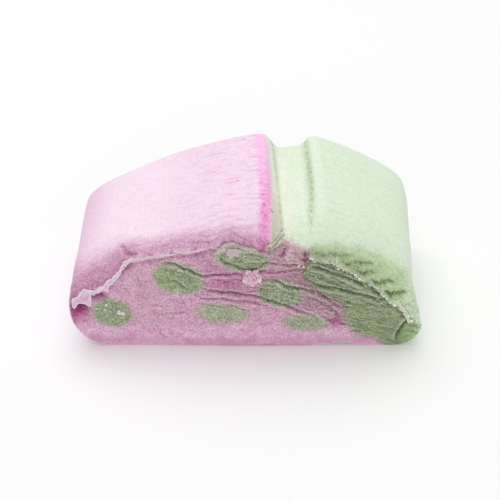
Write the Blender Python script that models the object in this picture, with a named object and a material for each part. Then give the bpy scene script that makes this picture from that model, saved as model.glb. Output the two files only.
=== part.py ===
"""One cut piece of a rope marshmallow, extruded from two coloured masses.

The rope runs along Y.  A pink body fills the -X side, a green cap the +X side, and a groove
along the top parts them.  Six green strands run through the pink body from cut to cut.
The front cut faces -Y and the back cut +Y; the blade has dragged the top skin down over
both.  The piece lies on its flat bottom at Z = 0, with X = 0 in the middle of its width.
"""
import math

import bmesh
import bpy
import numpy as np
from mathutils import Vector

# Driving dimensions, in metres
WIDTH = 0.0443            # across the rope
LENGTH = 0.0220           # from cut to cut
HEIGHT = 0.0198           # to the pink crest
GAP = 0.0003              # clearance between neighbouring masses

# Cross-section of the rope
PINK_CREST_X = 0.0016     # highest line of the pink side
GREEN_CREST_X = 0.0098    # highest line of the green side
GREEN_DROP = 0.00030      # how much lower the green crest is
GROOVE_DEPTH = 0.0019
GROOVE_LEFT = (0.0026, 0.0047)      # start and foot of the left groove wall
GROOVE_RIGHT = (0.0071, 0.0091)     # foot and end of the right groove wall
GROOVE_TILT = 0.16        # share by which the groove is shallower at its right wall
PINK_SIDE_Z = 0.0072      # height at which the pink side is widest
GREEN_SIDE_Z = 0.0036     # height at which the green side is widest
PINK_SHOULDER = 2.5       # superellipse powers: 2 is an ellipse, more is squarer
GREEN_SHOULDER = 10.0
FOOT_POWER = 2.3
PINK_FALL = (0.46, 1.15)  # share by which a roof falls from its crest to its side, and
GREEN_FALL = (0.40, 1.2)  # the power of that fall
PINK_FOOT = 0.0056        # width of the rounded foot on either side
GREEN_FOOT = 0.0036

# Cuts
FRONT_ROLL = 0.0062       # length of skin that bends down to the front cut
BACK_ROLL = 0.0042
FRONT_RIM_Z = 0.0154      # rim of the front cut in its middle
RIM_LEVEL = (-0.0020, 0.0040)       # the rim is level between these x values
PINK_RIM_POWER = 1.8      # how late the rim falls off towards either side
GREEN_RIM_POWER = 1.4
BACK_SINK = 0.0022        # how far the back rim lies below the skin
PINK_PINCH = 0.05         # inward pull of either side for each metre that the skin sinks
GREEN_PINCH = 0.10
GREEN_LEAN = 0.0011       # how far either side is pressed in towards the front cut
PINK_LEAN = 0.0005
CUT_BULGE = 0.0006        # how far the soft cut faces swell out
# Shares of the height between which each of these sets in
BACK_SINK_RISE = (0.25, 0.80)
GREEN_LEAN_RISE = (0.15, 0.45)
PINK_LEAN_RISE = (0.58, 0.40)

# Seam between the masses, seen along the rope
# as (x, z) from the tip of the pink wedge under the cap to the right wall of the groove
SEAM = ((0.0180, 0.0), (0.0147, 0.0016), (0.0127, 0.0040), (0.0116, 0.0068),
        (0.0090, 0.0093), (0.0073, 0.0122), (0.0086, HEIGHT))

# Strands: middle x, middle z, width, height, tilt in degrees
STRANDS = (
    (-0.0163, 0.0055, 0.0045, 0.0041, 0.0),
    (-0.0079, 0.0110, 0.0058, 0.0040, -12.0),
    (-0.0001, 0.0137, 0.0060, 0.0027, -6.0),
    (0.0045, 0.0088, 0.0054, 0.0036, -14.0),
    (-0.0026, 0.0057, 0.0056, 0.0027, -4.0),
    (0.0077, 0.0042, 0.0050, 0.0027, -6.0),
)

# Mesh resolution
OUTLINE_POINTS = 92
CURVE_SAMPLES = 400       # fine samples from which the even outline is drawn
STRAND_SIDES = 16
SEAM_STEPS = 5            # between two of the seam's points
FRONT_RINGS = 7
MIDDLE_RINGS = 5
BACK_RINGS = 5
CAP_RINGS = 3
OVERSHOOT = 0.003         # how far cutters stand out of what they cut
SHARP_ANGLE = 40.0        # degrees over which an edge is shaded sharp


def smoothstep(low, high, value):
    """0 below low, 1 above high, with a smooth rise between them."""
    t = np.clip((value - low) / (high - low), 0.0, 1.0)
    return t * t * (3.0 - 2.0 * t)


def quarter(centre, radius, power, start, end):
    """Points along a superellipse about centre, from one angle to another in degrees."""
    angle = np.radians(np.linspace(start, end, CURVE_SAMPLES))
    c, s = np.cos(angle), np.sin(angle)
    x = centre[0] + radius[0] * np.sign(c) * np.abs(c) ** (2.0 / power)
    z = centre[1] + radius[1] * np.sign(s) * np.abs(s) ** (2.0 / power)
    return np.column_stack((x, z))


def roof(crest_x, side_z, crest_z, reach, shoulder, fall, start, end):
    """A dome from its side to its crest, whose roof falls off towards the side."""
    points = quarter((0.0, 0.0), (1.0, 1.0), shoulder, start, end)
    lowering = 1.0 - fall[0] * np.abs(points[:, 0]) ** fall[1]
    x = crest_x + reach * points[:, 0]
    z = side_z + (crest_z - side_z) * points[:, 1] * lowering
    return np.column_stack((x, z))


def groove_points():
    """The top between the two crests, from the green one to the pink one."""
    x = np.linspace(GREEN_CREST_X, PINK_CREST_X, CURVE_SAMPLES)
    crest = HEIGHT - GREEN_DROP * smoothstep(PINK_CREST_X, GREEN_CREST_X, x)
    dip = smoothstep(*GROOVE_LEFT, x) * (1.0 - smoothstep(*GROOVE_RIGHT, x))
    dip *= 1.0 - GROOVE_TILT * smoothstep(GROOVE_LEFT[1], GROOVE_RIGHT[0], x)
    return np.column_stack((x, crest - GROOVE_DEPTH * dip))


def outline():
    """The rope's cross-section as evenly spaced (x, z) points, counter-clockwise from -Y."""
    half = WIDTH / 2.0
    green_top = HEIGHT - GREEN_DROP
    pieces = (
        quarter((half - GREEN_FOOT, GREEN_SIDE_Z), (GREEN_FOOT, GREEN_SIDE_Z), FOOT_POWER, -90, 0),
        roof(GREEN_CREST_X, GREEN_SIDE_Z, green_top, half - GREEN_CREST_X,
             GREEN_SHOULDER, GREEN_FALL, 0, 90),
        groove_points(),
        roof(PINK_CREST_X, PINK_SIDE_Z, HEIGHT, half + PINK_CREST_X,
             PINK_SHOULDER, PINK_FALL, 90, 180),
        quarter((PINK_FOOT - half, PINK_SIDE_Z), (PINK_FOOT, PINK_SIDE_Z), FOOT_POWER, 180, 270),
    )
    path = np.vstack(pieces)
    path = np.vstack((path, path[:1]))
    steps = np.hypot(*np.diff(path, axis=0).T)
    reach = np.concatenate(([0.0], np.cumsum(steps)))
    even = np.linspace(0.0, reach[-1], OUTLINE_POINTS, endpoint=False)
    return np.column_stack((np.interp(even, reach, path[:, 0]), np.interp(even, reach, path[:, 1])))


def rim_height(x):
    """Height of the front cut's rim: level in the middle, falling away to both sides."""
    half = WIDTH / 2.0
    pink_share = np.clip((RIM_LEVEL[0] - x) / (RIM_LEVEL[0] + half), 0.0, 1.0)
    green_share = np.clip((x - RIM_LEVEL[1]) / (half - RIM_LEVEL[1]), 0.0, 1.0)
    fall_pink = (FRONT_RIM_Z - PINK_SIDE_Z) * pink_share ** PINK_RIM_POWER
    fall_green = (FRONT_RIM_Z - GREEN_SIDE_Z) * green_share ** GREEN_RIM_POWER
    return FRONT_RIM_Z - fall_pink - fall_green


def roll(distance, length):
    """Share of a cut's full sink at a distance behind that cut, as a quarter ellipse."""
    t = 1.0 - np.clip(distance / length, 0.0, 1.0)
    return 1.0 - np.sqrt(1.0 - t * t)


def ring(section, y):
    """The cross-section as it lies at y, with its top drawn down towards the cuts."""
    x, z = section.T
    level = z / HEIGHT
    front = np.maximum(z - rim_height(x), 0.0) * roll(y + LENGTH / 2.0, FRONT_ROLL)
    back = BACK_SINK * smoothstep(*BACK_SINK_RISE, level) * roll(LENGTH / 2.0 - y, BACK_ROLL)
    half = WIDTH / 2.0
    pinch = GREEN_PINCH * smoothstep(0.0, half, x) - PINK_PINCH * smoothstep(0.0, -half, x)
    green_press = GREEN_LEAN * smoothstep(GREEN_CREST_X, half, x) * smoothstep(*GREEN_LEAN_RISE, level)
    pink_press = PINK_LEAN * smoothstep(0.0, -half, x) * smoothstep(*PINK_LEAN_RISE, level)
    towards_front = smoothstep(LENGTH / 3.0, -LENGTH / 3.0, y)
    moved_x = x - pinch * front - (green_press - pink_press) * towards_front
    return np.column_stack((moved_x, np.full_like(x, y), z - front - back))


def stations():
    """Places along Y for the rings, close together where the skin bends down to a cut."""
    half = LENGTH / 2.0
    front_angle = np.linspace(0.0, math.pi / 2.0, FRONT_RINGS)
    back_angle = np.linspace(math.pi / 2.0, 0.0, BACK_RINGS)
    front = -half + FRONT_ROLL * (1.0 - np.cos(front_angle))
    back = half - BACK_ROLL * (1.0 - np.cos(back_angle))
    middle = np.linspace(front[-1], back[0], MIDDLE_RINGS)[1:-1]
    return np.concatenate((front, middle, back))


def new_mesh_object(name, bm):
    """Turn a bmesh into an object of the scene, with its faces pointing out."""
    bmesh.ops.recalc_face_normals(bm, faces=bm.faces)
    mesh = bpy.data.meshes.new(name)
    bm.to_mesh(mesh)
    bm.free()
    piece = bpy.data.objects.new(name, mesh)
    bpy.context.scene.collection.objects.link(piece)
    return piece


def add_ring(bm, points):
    """Add the points as vertices and return them."""
    return [bm.verts.new(point) for point in points]


def join_rings(bm, first, second):
    """Close the band between two rings with quads."""
    for i in range(len(first)):
        j = (i + 1) % len(first)
        bm.faces.new((first[i], first[j], second[j], second[i]))


def close_end(bm, rim, direction):
    """Fill a cut with rings that shrink to its middle and swell out along direction."""
    points = np.array([vert.co for vert in rim])
    middle = points.mean(axis=0)
    last = rim
    for step in range(1, CAP_RINGS + 1):
        share = step / (CAP_RINGS + 1)
        inner = points + (middle - points) * share
        inner[:, 1] += direction * CUT_BULGE * math.sin(share * math.pi / 2.0)
        current = add_ring(bm, inner)
        join_rings(bm, last, current)
        last = current
    tip = bm.verts.new(middle + np.array((0.0, direction * CUT_BULGE, 0.0)))
    for i in range(len(last)):
        bm.faces.new((last[i], last[(i + 1) % len(last)], tip))


def build_whole():
    """The whole piece as one closed mesh, from which the masses are cut."""
    bm = bmesh.new()
    section = outline()
    rings = [add_ring(bm, ring(section, y)) for y in stations()]
    for first, second in zip(rings, rings[1:]):
        join_rings(bm, first, second)
    close_end(bm, rings[0], -1.0)
    close_end(bm, rings[-1], 1.0)
    return new_mesh_object("whole", bm)


def smooth_curve(points, steps):
    """A Catmull-Rom curve through the points, with steps samples between each two."""
    known = np.array(points)
    known = np.vstack((2.0 * known[0] - known[1], known, 2.0 * known[-1] - known[-2]))
    t = np.linspace(0.0, 1.0, steps, endpoint=False)[:, None]
    spans = []
    for before, start, end, after in zip(known, known[1:], known[2:], known[3:]):
        spans.append(start + 0.5 * t * (end - before
                     + t * (2.0 * before - 5.0 * start + 4.0 * end - after
                            + t * (3.0 * (start - end) + after - before))))
    return np.vstack(spans + [known[-2:-1]])


def seam_line(offset):
    """The seam from its foot to its top as (x, z), moved by offset to its green side."""
    line = smooth_curve(SEAM, SEAM_STEPS)
    along = np.gradient(line, axis=0)
    along /= np.linalg.norm(along, axis=1)[:, None]
    return line + offset * np.column_stack((along[:, 1], -along[:, 0]))


def build_seam_cutter(name, offset):
    """A block that holds everything on the green side of the seam."""
    line = seam_line(offset)
    below = line[0] + np.array((OVERSHOOT, -OVERSHOOT))
    above = line[-1] + np.array((0.0, OVERSHOOT))
    corners = ((WIDTH, above[1]), (WIDTH, below[1]))
    shape = np.vstack((below, line, above, corners))
    bm = bmesh.new()
    ends = []
    for y in (-LENGTH / 2.0 - OVERSHOOT, LENGTH / 2.0 + OVERSHOOT):
        ends.append(add_ring(bm, [(x, y, z) for x, z in shape]))
        bm.faces.new(ends[-1])
    join_rings(bm, *ends)
    return new_mesh_object(name, bm)


def build_strand(name, strand, extra):
    """An oval bar along the rope, grown by extra all round."""
    x, z, width, height, tilt = strand
    turn = math.radians(tilt)
    angle = np.linspace(0.0, 2.0 * math.pi, STRAND_SIDES, endpoint=False)
    u = (width / 2.0 + extra) * np.cos(angle)
    v = (height / 2.0 + extra) * np.sin(angle)
    px = x + u * math.cos(turn) - v * math.sin(turn)
    pz = z + u * math.sin(turn) + v * math.cos(turn)
    bm = bmesh.new()
    ends = []
    for y in (-LENGTH / 2.0 - OVERSHOOT, LENGTH / 2.0 + OVERSHOOT):
        ends.append(add_ring(bm, np.column_stack((px, np.full_like(px, y), pz))))
        bm.faces.new(ends[-1])
    join_rings(bm, *ends)
    return new_mesh_object(name, bm)


def hide_helper(piece):
    """Mark an object as a helper that is no part of the model."""
    piece.hide_render = True
    piece.display_type = "WIRE"


def boolean(piece, cutter, operation):
    """Cut a piece by, or down to, a helper."""
    modifier = piece.modifiers.new(cutter.name, "BOOLEAN")
    modifier.operation = operation
    modifier.object = cutter


def copy_of(source, name):
    """A second object on the same mesh as source."""
    piece = bpy.data.objects.new(name, source.data.copy())
    bpy.context.scene.collection.objects.link(piece)
    return piece


def finish_piece(piece, material):
    """Give a piece its material and shade its skin smooth up to the rims of the cuts."""
    piece.data.materials.clear()
    piece.data.materials.append(material)
    piece.data.shade_smooth()
    piece.data.set_sharp_from_angle(angle=math.radians(SHARP_ANGLE))


def marshmallow_material(name, colour):
    """Dull sugar foam of one colour."""
    material = bpy.data.materials.new(name)
    material.use_nodes = True
    shader = material.node_tree.nodes["Principled BSDF"]
    shader.inputs["Base Color"].default_value = (*colour, 1.0)
    shader.inputs["Roughness"].default_value = 0.9
    shader.inputs["Metallic"].default_value = 0.0
    return material


def clear_scene():
    """Start from an empty scene."""
    for item in list(bpy.data.objects):
        bpy.data.objects.remove(item, do_unlink=True)


def build_marshmallow():
    """Cut the whole piece into its pink body, its green cap and its six strands."""
    pink = marshmallow_material("pink_marshmallow", (0.86, 0.62, 0.76))
    green = marshmallow_material("green_marshmallow", (0.62, 0.76, 0.52))
    strand_green = marshmallow_material("strand_marshmallow", (0.30, 0.36, 0.22))
    whole = build_whole()
    hide_helper(whole)

    cap = copy_of(whole, "green_cap")
    cap_cutter = build_seam_cutter("cap_cutter", GAP / 2.0)
    hide_helper(cap_cutter)
    boolean(cap, cap_cutter, "INTERSECT")
    finish_piece(cap, green)

    body = copy_of(whole, "pink_body")
    body_cutter = build_seam_cutter("body_cutter", -GAP / 2.0)
    hide_helper(body_cutter)
    boolean(body, body_cutter, "DIFFERENCE")

    for number, strand in enumerate(STRANDS, start=1):
        bore = build_strand("strand_bore_%d" % number, strand, GAP)
        hide_helper(bore)
        boolean(body, bore, "DIFFERENCE")
        piece = build_strand("green_strand_%d" % number, strand, 0.0)
        boolean(piece, whole, "INTERSECT")
        finish_piece(piece, strand_green)
    finish_piece(body, pink)


clear_scene()
build_marshmallow()
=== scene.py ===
"""The looks of one cut piece of a grooved rope marshmallow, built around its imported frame.

Every mesh is worked out in millimetres and scaled to metres as it is made.  The skin is one
grid that runs round the rope and from cut to cut, with its top dragged down over both cuts.
Each cut is a fine triangle mesh inside the skin's rim.  Skin and cuts are shared out to one
closed piece for each node of the frame: the pink body, the green cap and the six strands.
"""
import math

import bmesh
import bpy
import numpy as np
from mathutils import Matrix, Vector
from mathutils.geometry import delaunay_2d_cdt


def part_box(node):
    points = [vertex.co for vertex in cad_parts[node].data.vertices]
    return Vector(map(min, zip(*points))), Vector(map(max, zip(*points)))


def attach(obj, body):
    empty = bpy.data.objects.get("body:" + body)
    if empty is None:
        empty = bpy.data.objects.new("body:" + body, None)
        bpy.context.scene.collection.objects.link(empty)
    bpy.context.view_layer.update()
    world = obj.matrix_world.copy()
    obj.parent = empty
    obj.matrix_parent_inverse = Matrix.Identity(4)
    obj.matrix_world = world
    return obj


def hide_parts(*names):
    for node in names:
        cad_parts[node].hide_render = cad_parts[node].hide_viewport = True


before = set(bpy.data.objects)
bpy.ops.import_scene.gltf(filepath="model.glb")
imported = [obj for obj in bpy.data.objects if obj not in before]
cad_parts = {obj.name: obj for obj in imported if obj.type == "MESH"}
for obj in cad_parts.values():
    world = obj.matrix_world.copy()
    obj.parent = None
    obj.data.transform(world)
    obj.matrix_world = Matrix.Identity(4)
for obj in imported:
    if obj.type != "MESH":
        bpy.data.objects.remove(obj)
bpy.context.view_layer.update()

MM = 0.001

# Rope, in millimetres, after the frame
BOXES = [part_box(node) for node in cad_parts]
WIDTH = (max(high.x for _, high in BOXES) - min(low.x for low, _ in BOXES)) / MM
HEIGHT = max(high.z for _, high in BOXES) / MM
CUT_BULGE = 0.6
LENGTH = (max(high.y for _, high in BOXES) - min(low.y for low, _ in BOXES)) / MM - 2.0 * CUT_BULGE
HALF = WIDTH / 2.0
FRONT_Y = -LENGTH / 2.0
BACK_Y = LENGTH / 2.0
PINK_CREST_X = 1.6
GREEN_CREST_X = 9.8
GREEN_DROP = 0.30
GROOVE_DEPTH = 1.9
GROOVE_LEFT = (2.6, 4.7)
GROOVE_RIGHT = (7.1, 9.1)
GROOVE_TILT = 0.16         # share by which the groove is shallower at its right wall
PINK_SIDE_Z = 7.2
GREEN_SIDE_Z = 3.6
PINK_SHOULDER = 2.5
GREEN_SHOULDER = 10.0
PINK_FALL = (0.46, 1.15)
GREEN_FALL = (0.40, 1.2)
PINK_FOOT = 5.6
GREEN_FOOT = 3.6
FOOT_POWER = 2.3

# Cuts and seam
FRONT_ROLL = 6.2
BACK_ROLL = 4.2
BACK_SINK = 2.2
PINK_PINCH = 0.05          # how far the dragged skin is drawn in, per millimetre it sinks
GREEN_PINCH = 0.10
PINK_LEAN = 0.3
GREEN_LEAN = 1.1
RIM = ((-22.2, 6.2), (-21.4, 7.4), (-18.5, 9.1), (-16.9, 9.6), (-15.1, 11.7), (-13.5, 13.4),
       (-11.1, 13.9), (-8.7, 14.4), (-5.1, 15.1), (-3.2, 15.5), (-2.2, 16.05), (-1.1, 16.2),
       (0.8, 15.6), (2.5, 15.0), (3.6, 15.1), (4.6, 15.8), (6.0, 15.3), (7.3, 14.4), (8.8, 13.6),
       (10.4, 13.2), (12.2, 12.3), (14.7, 10.5), (16.4, 9.1), (18.3, 7.0), (19.9, 5.6), (21.2, 4.4), (22.2, 3.6))
SEAM = ((18.0, 0.0), (16.4, 1.2), (14.7, 1.7), (13.0, 3.3), (12.5, 5.2), (12.1, 7.0),
        (10.4, 8.2), (8.8, 9.4), (7.5, 11.1), (7.3, 12.3))
SEAM_TOP_X = 8.4
LUMP = (6.4, 14.4, 1.7, 1.75)       # middle and half sizes of the lump under the groove
LUMP_RISE = 0.50
STRAND_TILTS = (0.0, -12.0, -6.0, -14.0, -4.0, -6.0)

# Mesh resolution
FINE = 0.17               # between points of the skin
CUT_STEP = 0.125          # between points of the front cut
BACK_STEP = 0.28          # between points of the back cut
COARSE = 0.7              # along the bottom


def smoothstep(low, high, value):
    """0 below low, 1 above high, with a smooth rise between them."""
    t = np.clip((value - low) / (high - low), 0.0, 1.0)
    return t * t * (3.0 - 2.0 * t)


def bump(value, centre, width):
    """A bell of height 1 at centre."""
    return np.exp(-((value - centre) / width) ** 2)


# Noise

def gradient_noise(x, y, seed):
    """Smooth noise of about -1 to 1, with features one unit wide."""
    turns = np.random.default_rng(seed).uniform(0.0, 2.0 * math.pi, (256, 256))
    x0 = np.floor(x).astype(int)
    y0 = np.floor(y).astype(int)
    fx = x - x0
    fy = y - y0

    def corner(i, j):
        turn = turns[(x0 + i) % 256, (y0 + j) % 256]
        return np.cos(turn) * (fx - i) + np.sin(turn) * (fy - j)

    sx = fx ** 3 * (fx * (fx * 6.0 - 15.0) + 10.0)
    sy = fy ** 3 * (fy * (fy * 6.0 - 15.0) + 10.0)
    low = corner(0, 0) * (1.0 - sx) + corner(1, 0) * sx
    high = corner(0, 1) * (1.0 - sx) + corner(1, 1) * sx
    return 1.5 * (low * (1.0 - sy) + high * sy)


def fractal_noise(x, y, seed, octaves=3):
    """Gradient noise with finer and weaker octaves added."""
    total = 0.0
    for octave in range(octaves):
        scale = 2.0 ** octave
        total = total + gradient_noise(x * scale, y * scale, seed + octave) / scale
    return total


# Curves

def smooth_curve(points, steps):
    """A Catmull-Rom curve through the points, with steps samples between each two."""
    known = np.array(points, dtype=float)
    known = np.vstack((2.0 * known[0] - known[1], known, 2.0 * known[-1] - known[-2]))
    t = np.linspace(0.0, 1.0, steps, endpoint=False)[:, None]
    spans = []
    for before, start, end, after in zip(known, known[1:], known[2:], known[3:]):
        spans.append(start + 0.5 * t * (end - before
                     + t * (2.0 * before - 5.0 * start + 4.0 * end - after
                            + t * (3.0 * (start - end) + after - before))))
    return np.vstack(spans + [known[-2:-1]])


def resample(path, step):
    """The path as evenly spaced points, about step apart, with both its ends."""
    lengths = np.linalg.norm(np.diff(path, axis=0), axis=1)
    reach = np.concatenate(([0.0], np.cumsum(lengths)))
    count = max(2, int(round(reach[-1] / step)) + 1)
    even = np.linspace(0.0, reach[-1], count)
    return np.column_stack([np.interp(even, reach, path[:, k]) for k in range(path.shape[1])])


def quarter(centre, radius, power, start, end):
    """Points along a superellipse about centre, from one angle to another in degrees."""
    angle = np.radians(np.linspace(start, end, 400))
    c, s = np.cos(angle), np.sin(angle)
    x = centre[0] + radius[0] * np.sign(c) * np.abs(c) ** (2.0 / power)
    z = centre[1] + radius[1] * np.sign(s) * np.abs(s) ** (2.0 / power)
    return np.column_stack((x, z))


def roof(crest_x, side_z, crest_z, reach, shoulder, fall, start, end):
    """A dome from its side to its crest, whose roof falls off towards the side."""
    points = quarter((0.0, 0.0), (1.0, 1.0), shoulder, start, end)
    lowering = 1.0 - fall[0] * np.abs(points[:, 0]) ** fall[1]
    x = crest_x + reach * points[:, 0]
    z = side_z + (crest_z - side_z) * points[:, 1] * lowering
    return np.column_stack((x, z))


# Section of the rope

def outline_parts():
    """The cross-section as three runs: the green skin, the pink skin and the pink bottom.

    They run counter-clockwise seen from the front cut, from the seam's foot back to it.
    """
    green_top = HEIGHT - GREEN_DROP
    groove_x = np.linspace(GREEN_CREST_X, PINK_CREST_X, 400)
    crest = HEIGHT - GREEN_DROP * smoothstep(PINK_CREST_X, GREEN_CREST_X, groove_x)
    dip = smoothstep(*GROOVE_LEFT, groove_x) * (1.0 - smoothstep(*GROOVE_RIGHT, groove_x))
    dip *= 1.0 - GROOVE_TILT * smoothstep(GROOVE_LEFT[1], GROOVE_RIGHT[0], groove_x)
    groove = np.column_stack((groove_x, crest - GROOVE_DEPTH * dip))
    foot = np.array([SEAM[0]])
    green_foot = quarter((HALF - GREEN_FOOT, GREEN_SIDE_Z), (GREEN_FOOT, GREEN_SIDE_Z),
                         FOOT_POWER, -90, 0)
    green_roof = roof(GREEN_CREST_X, GREEN_SIDE_Z, green_top, HALF - GREEN_CREST_X,
                      GREEN_SHOULDER, GREEN_FALL, 0, 90)
    pink_roof = roof(PINK_CREST_X, PINK_SIDE_Z, HEIGHT, HALF + PINK_CREST_X,
                     PINK_SHOULDER, PINK_FALL, 90, 180)
    pink_foot = quarter((PINK_FOOT - HALF, PINK_SIDE_Z), (PINK_FOOT, PINK_SIDE_Z),
                        FOOT_POWER, 180, 270)
    in_green = groove[:, 0] > SEAM_TOP_X
    green = resample(np.vstack((foot, green_foot, green_roof, groove[in_green])), FINE)
    pink = resample(np.vstack((groove[~in_green], pink_roof, pink_foot)), FINE)
    pink[0] = green[-1]
    bottom = resample(np.vstack((pink[-1:], foot)), COARSE)
    return green, pink, bottom


def rim_height(x):
    """Height of the front cut's rim, slightly ragged where the blade tore the skin."""
    line = smooth_curve(RIM, 12)
    ragged = 0.16 * fractal_noise(x * 1.3, 0.0 * x + 0.5, 5, 2)
    return np.interp(x, line[:, 0], line[:, 1]) + ragged * smoothstep(HALF, HALF - 4.0, np.abs(x))


def stations():
    """Places along Y for the skin's rows, and the share of either cut's sink at each."""
    front_arc = 0.5 * math.pi * 0.5 * (FRONT_ROLL + 0.25 * HEIGHT)
    front_angle = np.linspace(0.0, 0.5 * math.pi, int(front_arc / (FINE * 0.8)))
    back_angle = np.linspace(0.5 * math.pi, 0.0, int(BACK_ROLL / BACK_STEP) + 8)
    front = FRONT_Y + FRONT_ROLL * (1.0 - np.cos(front_angle))
    back = BACK_Y - BACK_ROLL * (1.0 - np.cos(back_angle))
    rows = int((back[0] - front[-1]) / (FINE * 1.2))
    middle = np.linspace(front[-1], back[0], rows)[1:-1]
    none = np.zeros_like(middle)
    y = np.concatenate((front, middle, back))
    front_share = np.concatenate((1.0 - np.sin(front_angle), none, np.zeros_like(back)))
    back_share = np.concatenate((np.zeros_like(front), none, 1.0 - np.sin(back_angle)))
    return y, front_share, back_share


def tuck(z):
    """How far a cut's lower edge is rounded in at height z; below zero it is spread out."""
    return -0.05 * (1.0 - smoothstep(0.0, 1.2, z))


def skin_base(section, y, front_share, back_share):
    """The smooth skin as an array of points, rows along Y and columns round the rope."""
    x, z = section[:, 0][None, :], section[:, 1][None, :]
    y = y[:, None]
    back = BACK_SINK * smoothstep(0.25, 0.8, z / HEIGHT) * back_share[:, None]
    drawn_in = GREEN_PINCH * smoothstep(0.0, HALF, x) - PINK_PINCH * smoothstep(0.0, -HALF, x)
    towards_front = smoothstep(LENGTH / 3.0, -LENGTH / 3.0, y)
    upper = smoothstep(0.15, 0.45, z / HEIGHT)
    pressed = PINK_LEAN * smoothstep(0.0, -HALF, x) * smoothstep(0.58, 0.40, z / HEIGHT)
    pressed += 0.28 * bump(z, 7.4, 2.2) * smoothstep(-18.0, -HALF, x)
    pressed -= GREEN_LEAN * smoothstep(GREEN_CREST_X, HALF, x) * upper
    spread = 0.25 * smoothstep(14.0, HALF, x) * (1.0 - upper)
    moved_x = x + (spread + pressed) * towards_front
    front = 0.0
    for _ in range(4):
        front = np.maximum(z - rim_height(moved_x - drawn_in * front), 0.0) * front_share[:, None]
    lifted = 0.55 * bump(x, 12.6, 2.4) * (1.0 - smoothstep(0.0, 2.0, z)) * front_share[:, None]
    low_z = z - front - back
    near_front = np.clip(1.0 - (y - FRONT_Y) / 5.0, 0.0, 1.0) ** 2
    near_back = np.clip(1.0 - (BACK_Y - y) / 5.0, 0.0, 1.0) ** 2
    moved_y = y + tuck(low_z) * (near_front - near_back)
    return np.stack((moved_x - drawn_in * front, moved_y, low_z + lifted), axis=-1)


def grid_normals(points):
    """Outward normals of the skin's array of points."""
    around = np.roll(points, -1, axis=1) - np.roll(points, 1, axis=1)
    along = np.gradient(points, axis=0)
    normals = np.cross(along, around)
    return normals / (np.linalg.norm(normals, axis=-1, keepdims=True) + 1e-12)


# Relief

def blurred(field, cells):
    """The field smoothed by a bell of that many cells, along both of its axes."""
    reach = int(math.ceil(cells * 2.5))
    bell = np.exp(-0.5 * (np.arange(-reach, reach + 1) / cells) ** 2)
    bell /= bell.sum()
    for axis in (0, 1):
        padding = [(0, 0), (0, 0)]
        padding[axis] = (reach, reach)
        padded = np.pad(field, padding, mode="edge")
        field = sum(weight * np.take(padded, np.arange(k, k + field.shape[axis]), axis=axis)
                    for k, weight in enumerate(bell))
    return field


def line_distance(x, z, line):
    """Distance to a line, the side on which each point lies, and its place along the line."""
    best = np.full(x.shape, 1e9)
    side = np.zeros(x.shape)
    place = np.zeros(x.shape)
    lengths = np.linalg.norm(np.diff(line, axis=0), axis=1)
    reach = np.concatenate(([0.0], np.cumsum(lengths)))
    for start, end, done, length in zip(line, line[1:], reach, lengths):
        along = (end - start) / length
        dx, dz = x - start[0], z - start[1]
        t = np.clip(dx * along[0] + dz * along[1], 0.0, length)
        gap = np.hypot(dx - t * along[0], dz - t * along[1])
        nearer = gap < best
        best = np.where(nearer, gap, best)
        side = np.where(nearer, np.sign(dz * along[0] - dx * along[1]), side)
        place = np.where(nearer, done + t, place)
    return best, side, place / reach[-1]


# The fold between the cut and the uncut green corner, from the rim down
CORNER_FOLD = ((21.5, 5.4), (21.0, 4.6), (20.2, 3.6), (19.6, 2.2), (19.3, 0.5))

# Folds of the front cut: points as (x, z), depth and width
FOLDS = (
    (((-10.6, 13.0), (-8.4, 13.1), (-6.7, 12.4), (-5.2, 11.5), (-3.0, 11.6), (-0.2, 11.6)), 0.30, 0.16),
    (((-5.3, 9.8), (-4.2, 9.2), (-0.8, 8.8), (2.1, 8.2), (4.1, 7.4), (6.8, 6.1), (9.5, 4.8)), 0.37, 0.19),
    (((-6.4, 9.2), (-5.0, 8.1), (-2.5, 8.0), (1.6, 7.3), (3.2, 6.9)), 0.21, 0.16),
    (((-3.0, 7.3), (-1.2, 6.8), (0.5, 6.0)), 0.14, 0.16),
    (((1.6, 10.9), (3.7, 10.8), (5.6, 9.8), (8.4, 9.0), (10.4, 7.8), (12.4, 5.9)), 0.30, 0.18),
    (((0.8, 12.0), (4.2, 11.9), (6.9, 12.5)), 0.17, 0.15),
    (((3.0, 13.2), (4.8, 12.9), (6.6, 13.1)), 0.14, 0.15),
    (((-9.4, 10.9), (-7.8, 10.2), (-6.4, 9.1)), 0.18, 0.15),
    (((-3.2, 14.5), (-2.3, 13.4), (0.4, 12.3), (2.0, 12.7), (3.4, 13.6)), 0.23, 0.16),
    (((-11.6, 7.1), (-9.8, 6.8)), 0.11, 0.19),
    (((-9.9, 5.6), (-7.2, 5.9)), 0.11, 0.19),
    (((3.9, 14.2), (4.7, 14.5), (5.0, 15.4)), 0.18, 0.18),
    (((7.6, 12.9), (10.1, 11.9), (13.0, 10.7), (15.4, 9.2)), 0.36, 0.18),
    (((7.7, 11.2), (8.9, 10.0), (11.8, 9.3), (15.0, 8.2), (18.0, 7.1)), 0.36, 0.20),
    (((9.0, 7.6), (10.8, 6.4), (12.3, 4.6)), 0.18, 0.18),
    (((8.2, 6.0), (10.2, 4.9), (11.8, 3.2)), 0.16, 0.18),
    (CORNER_FOLD, 0.36, 0.20),
)
FOLD_LIP = 0.6            # height of the ridge under a crease, as a share of its depth


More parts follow.
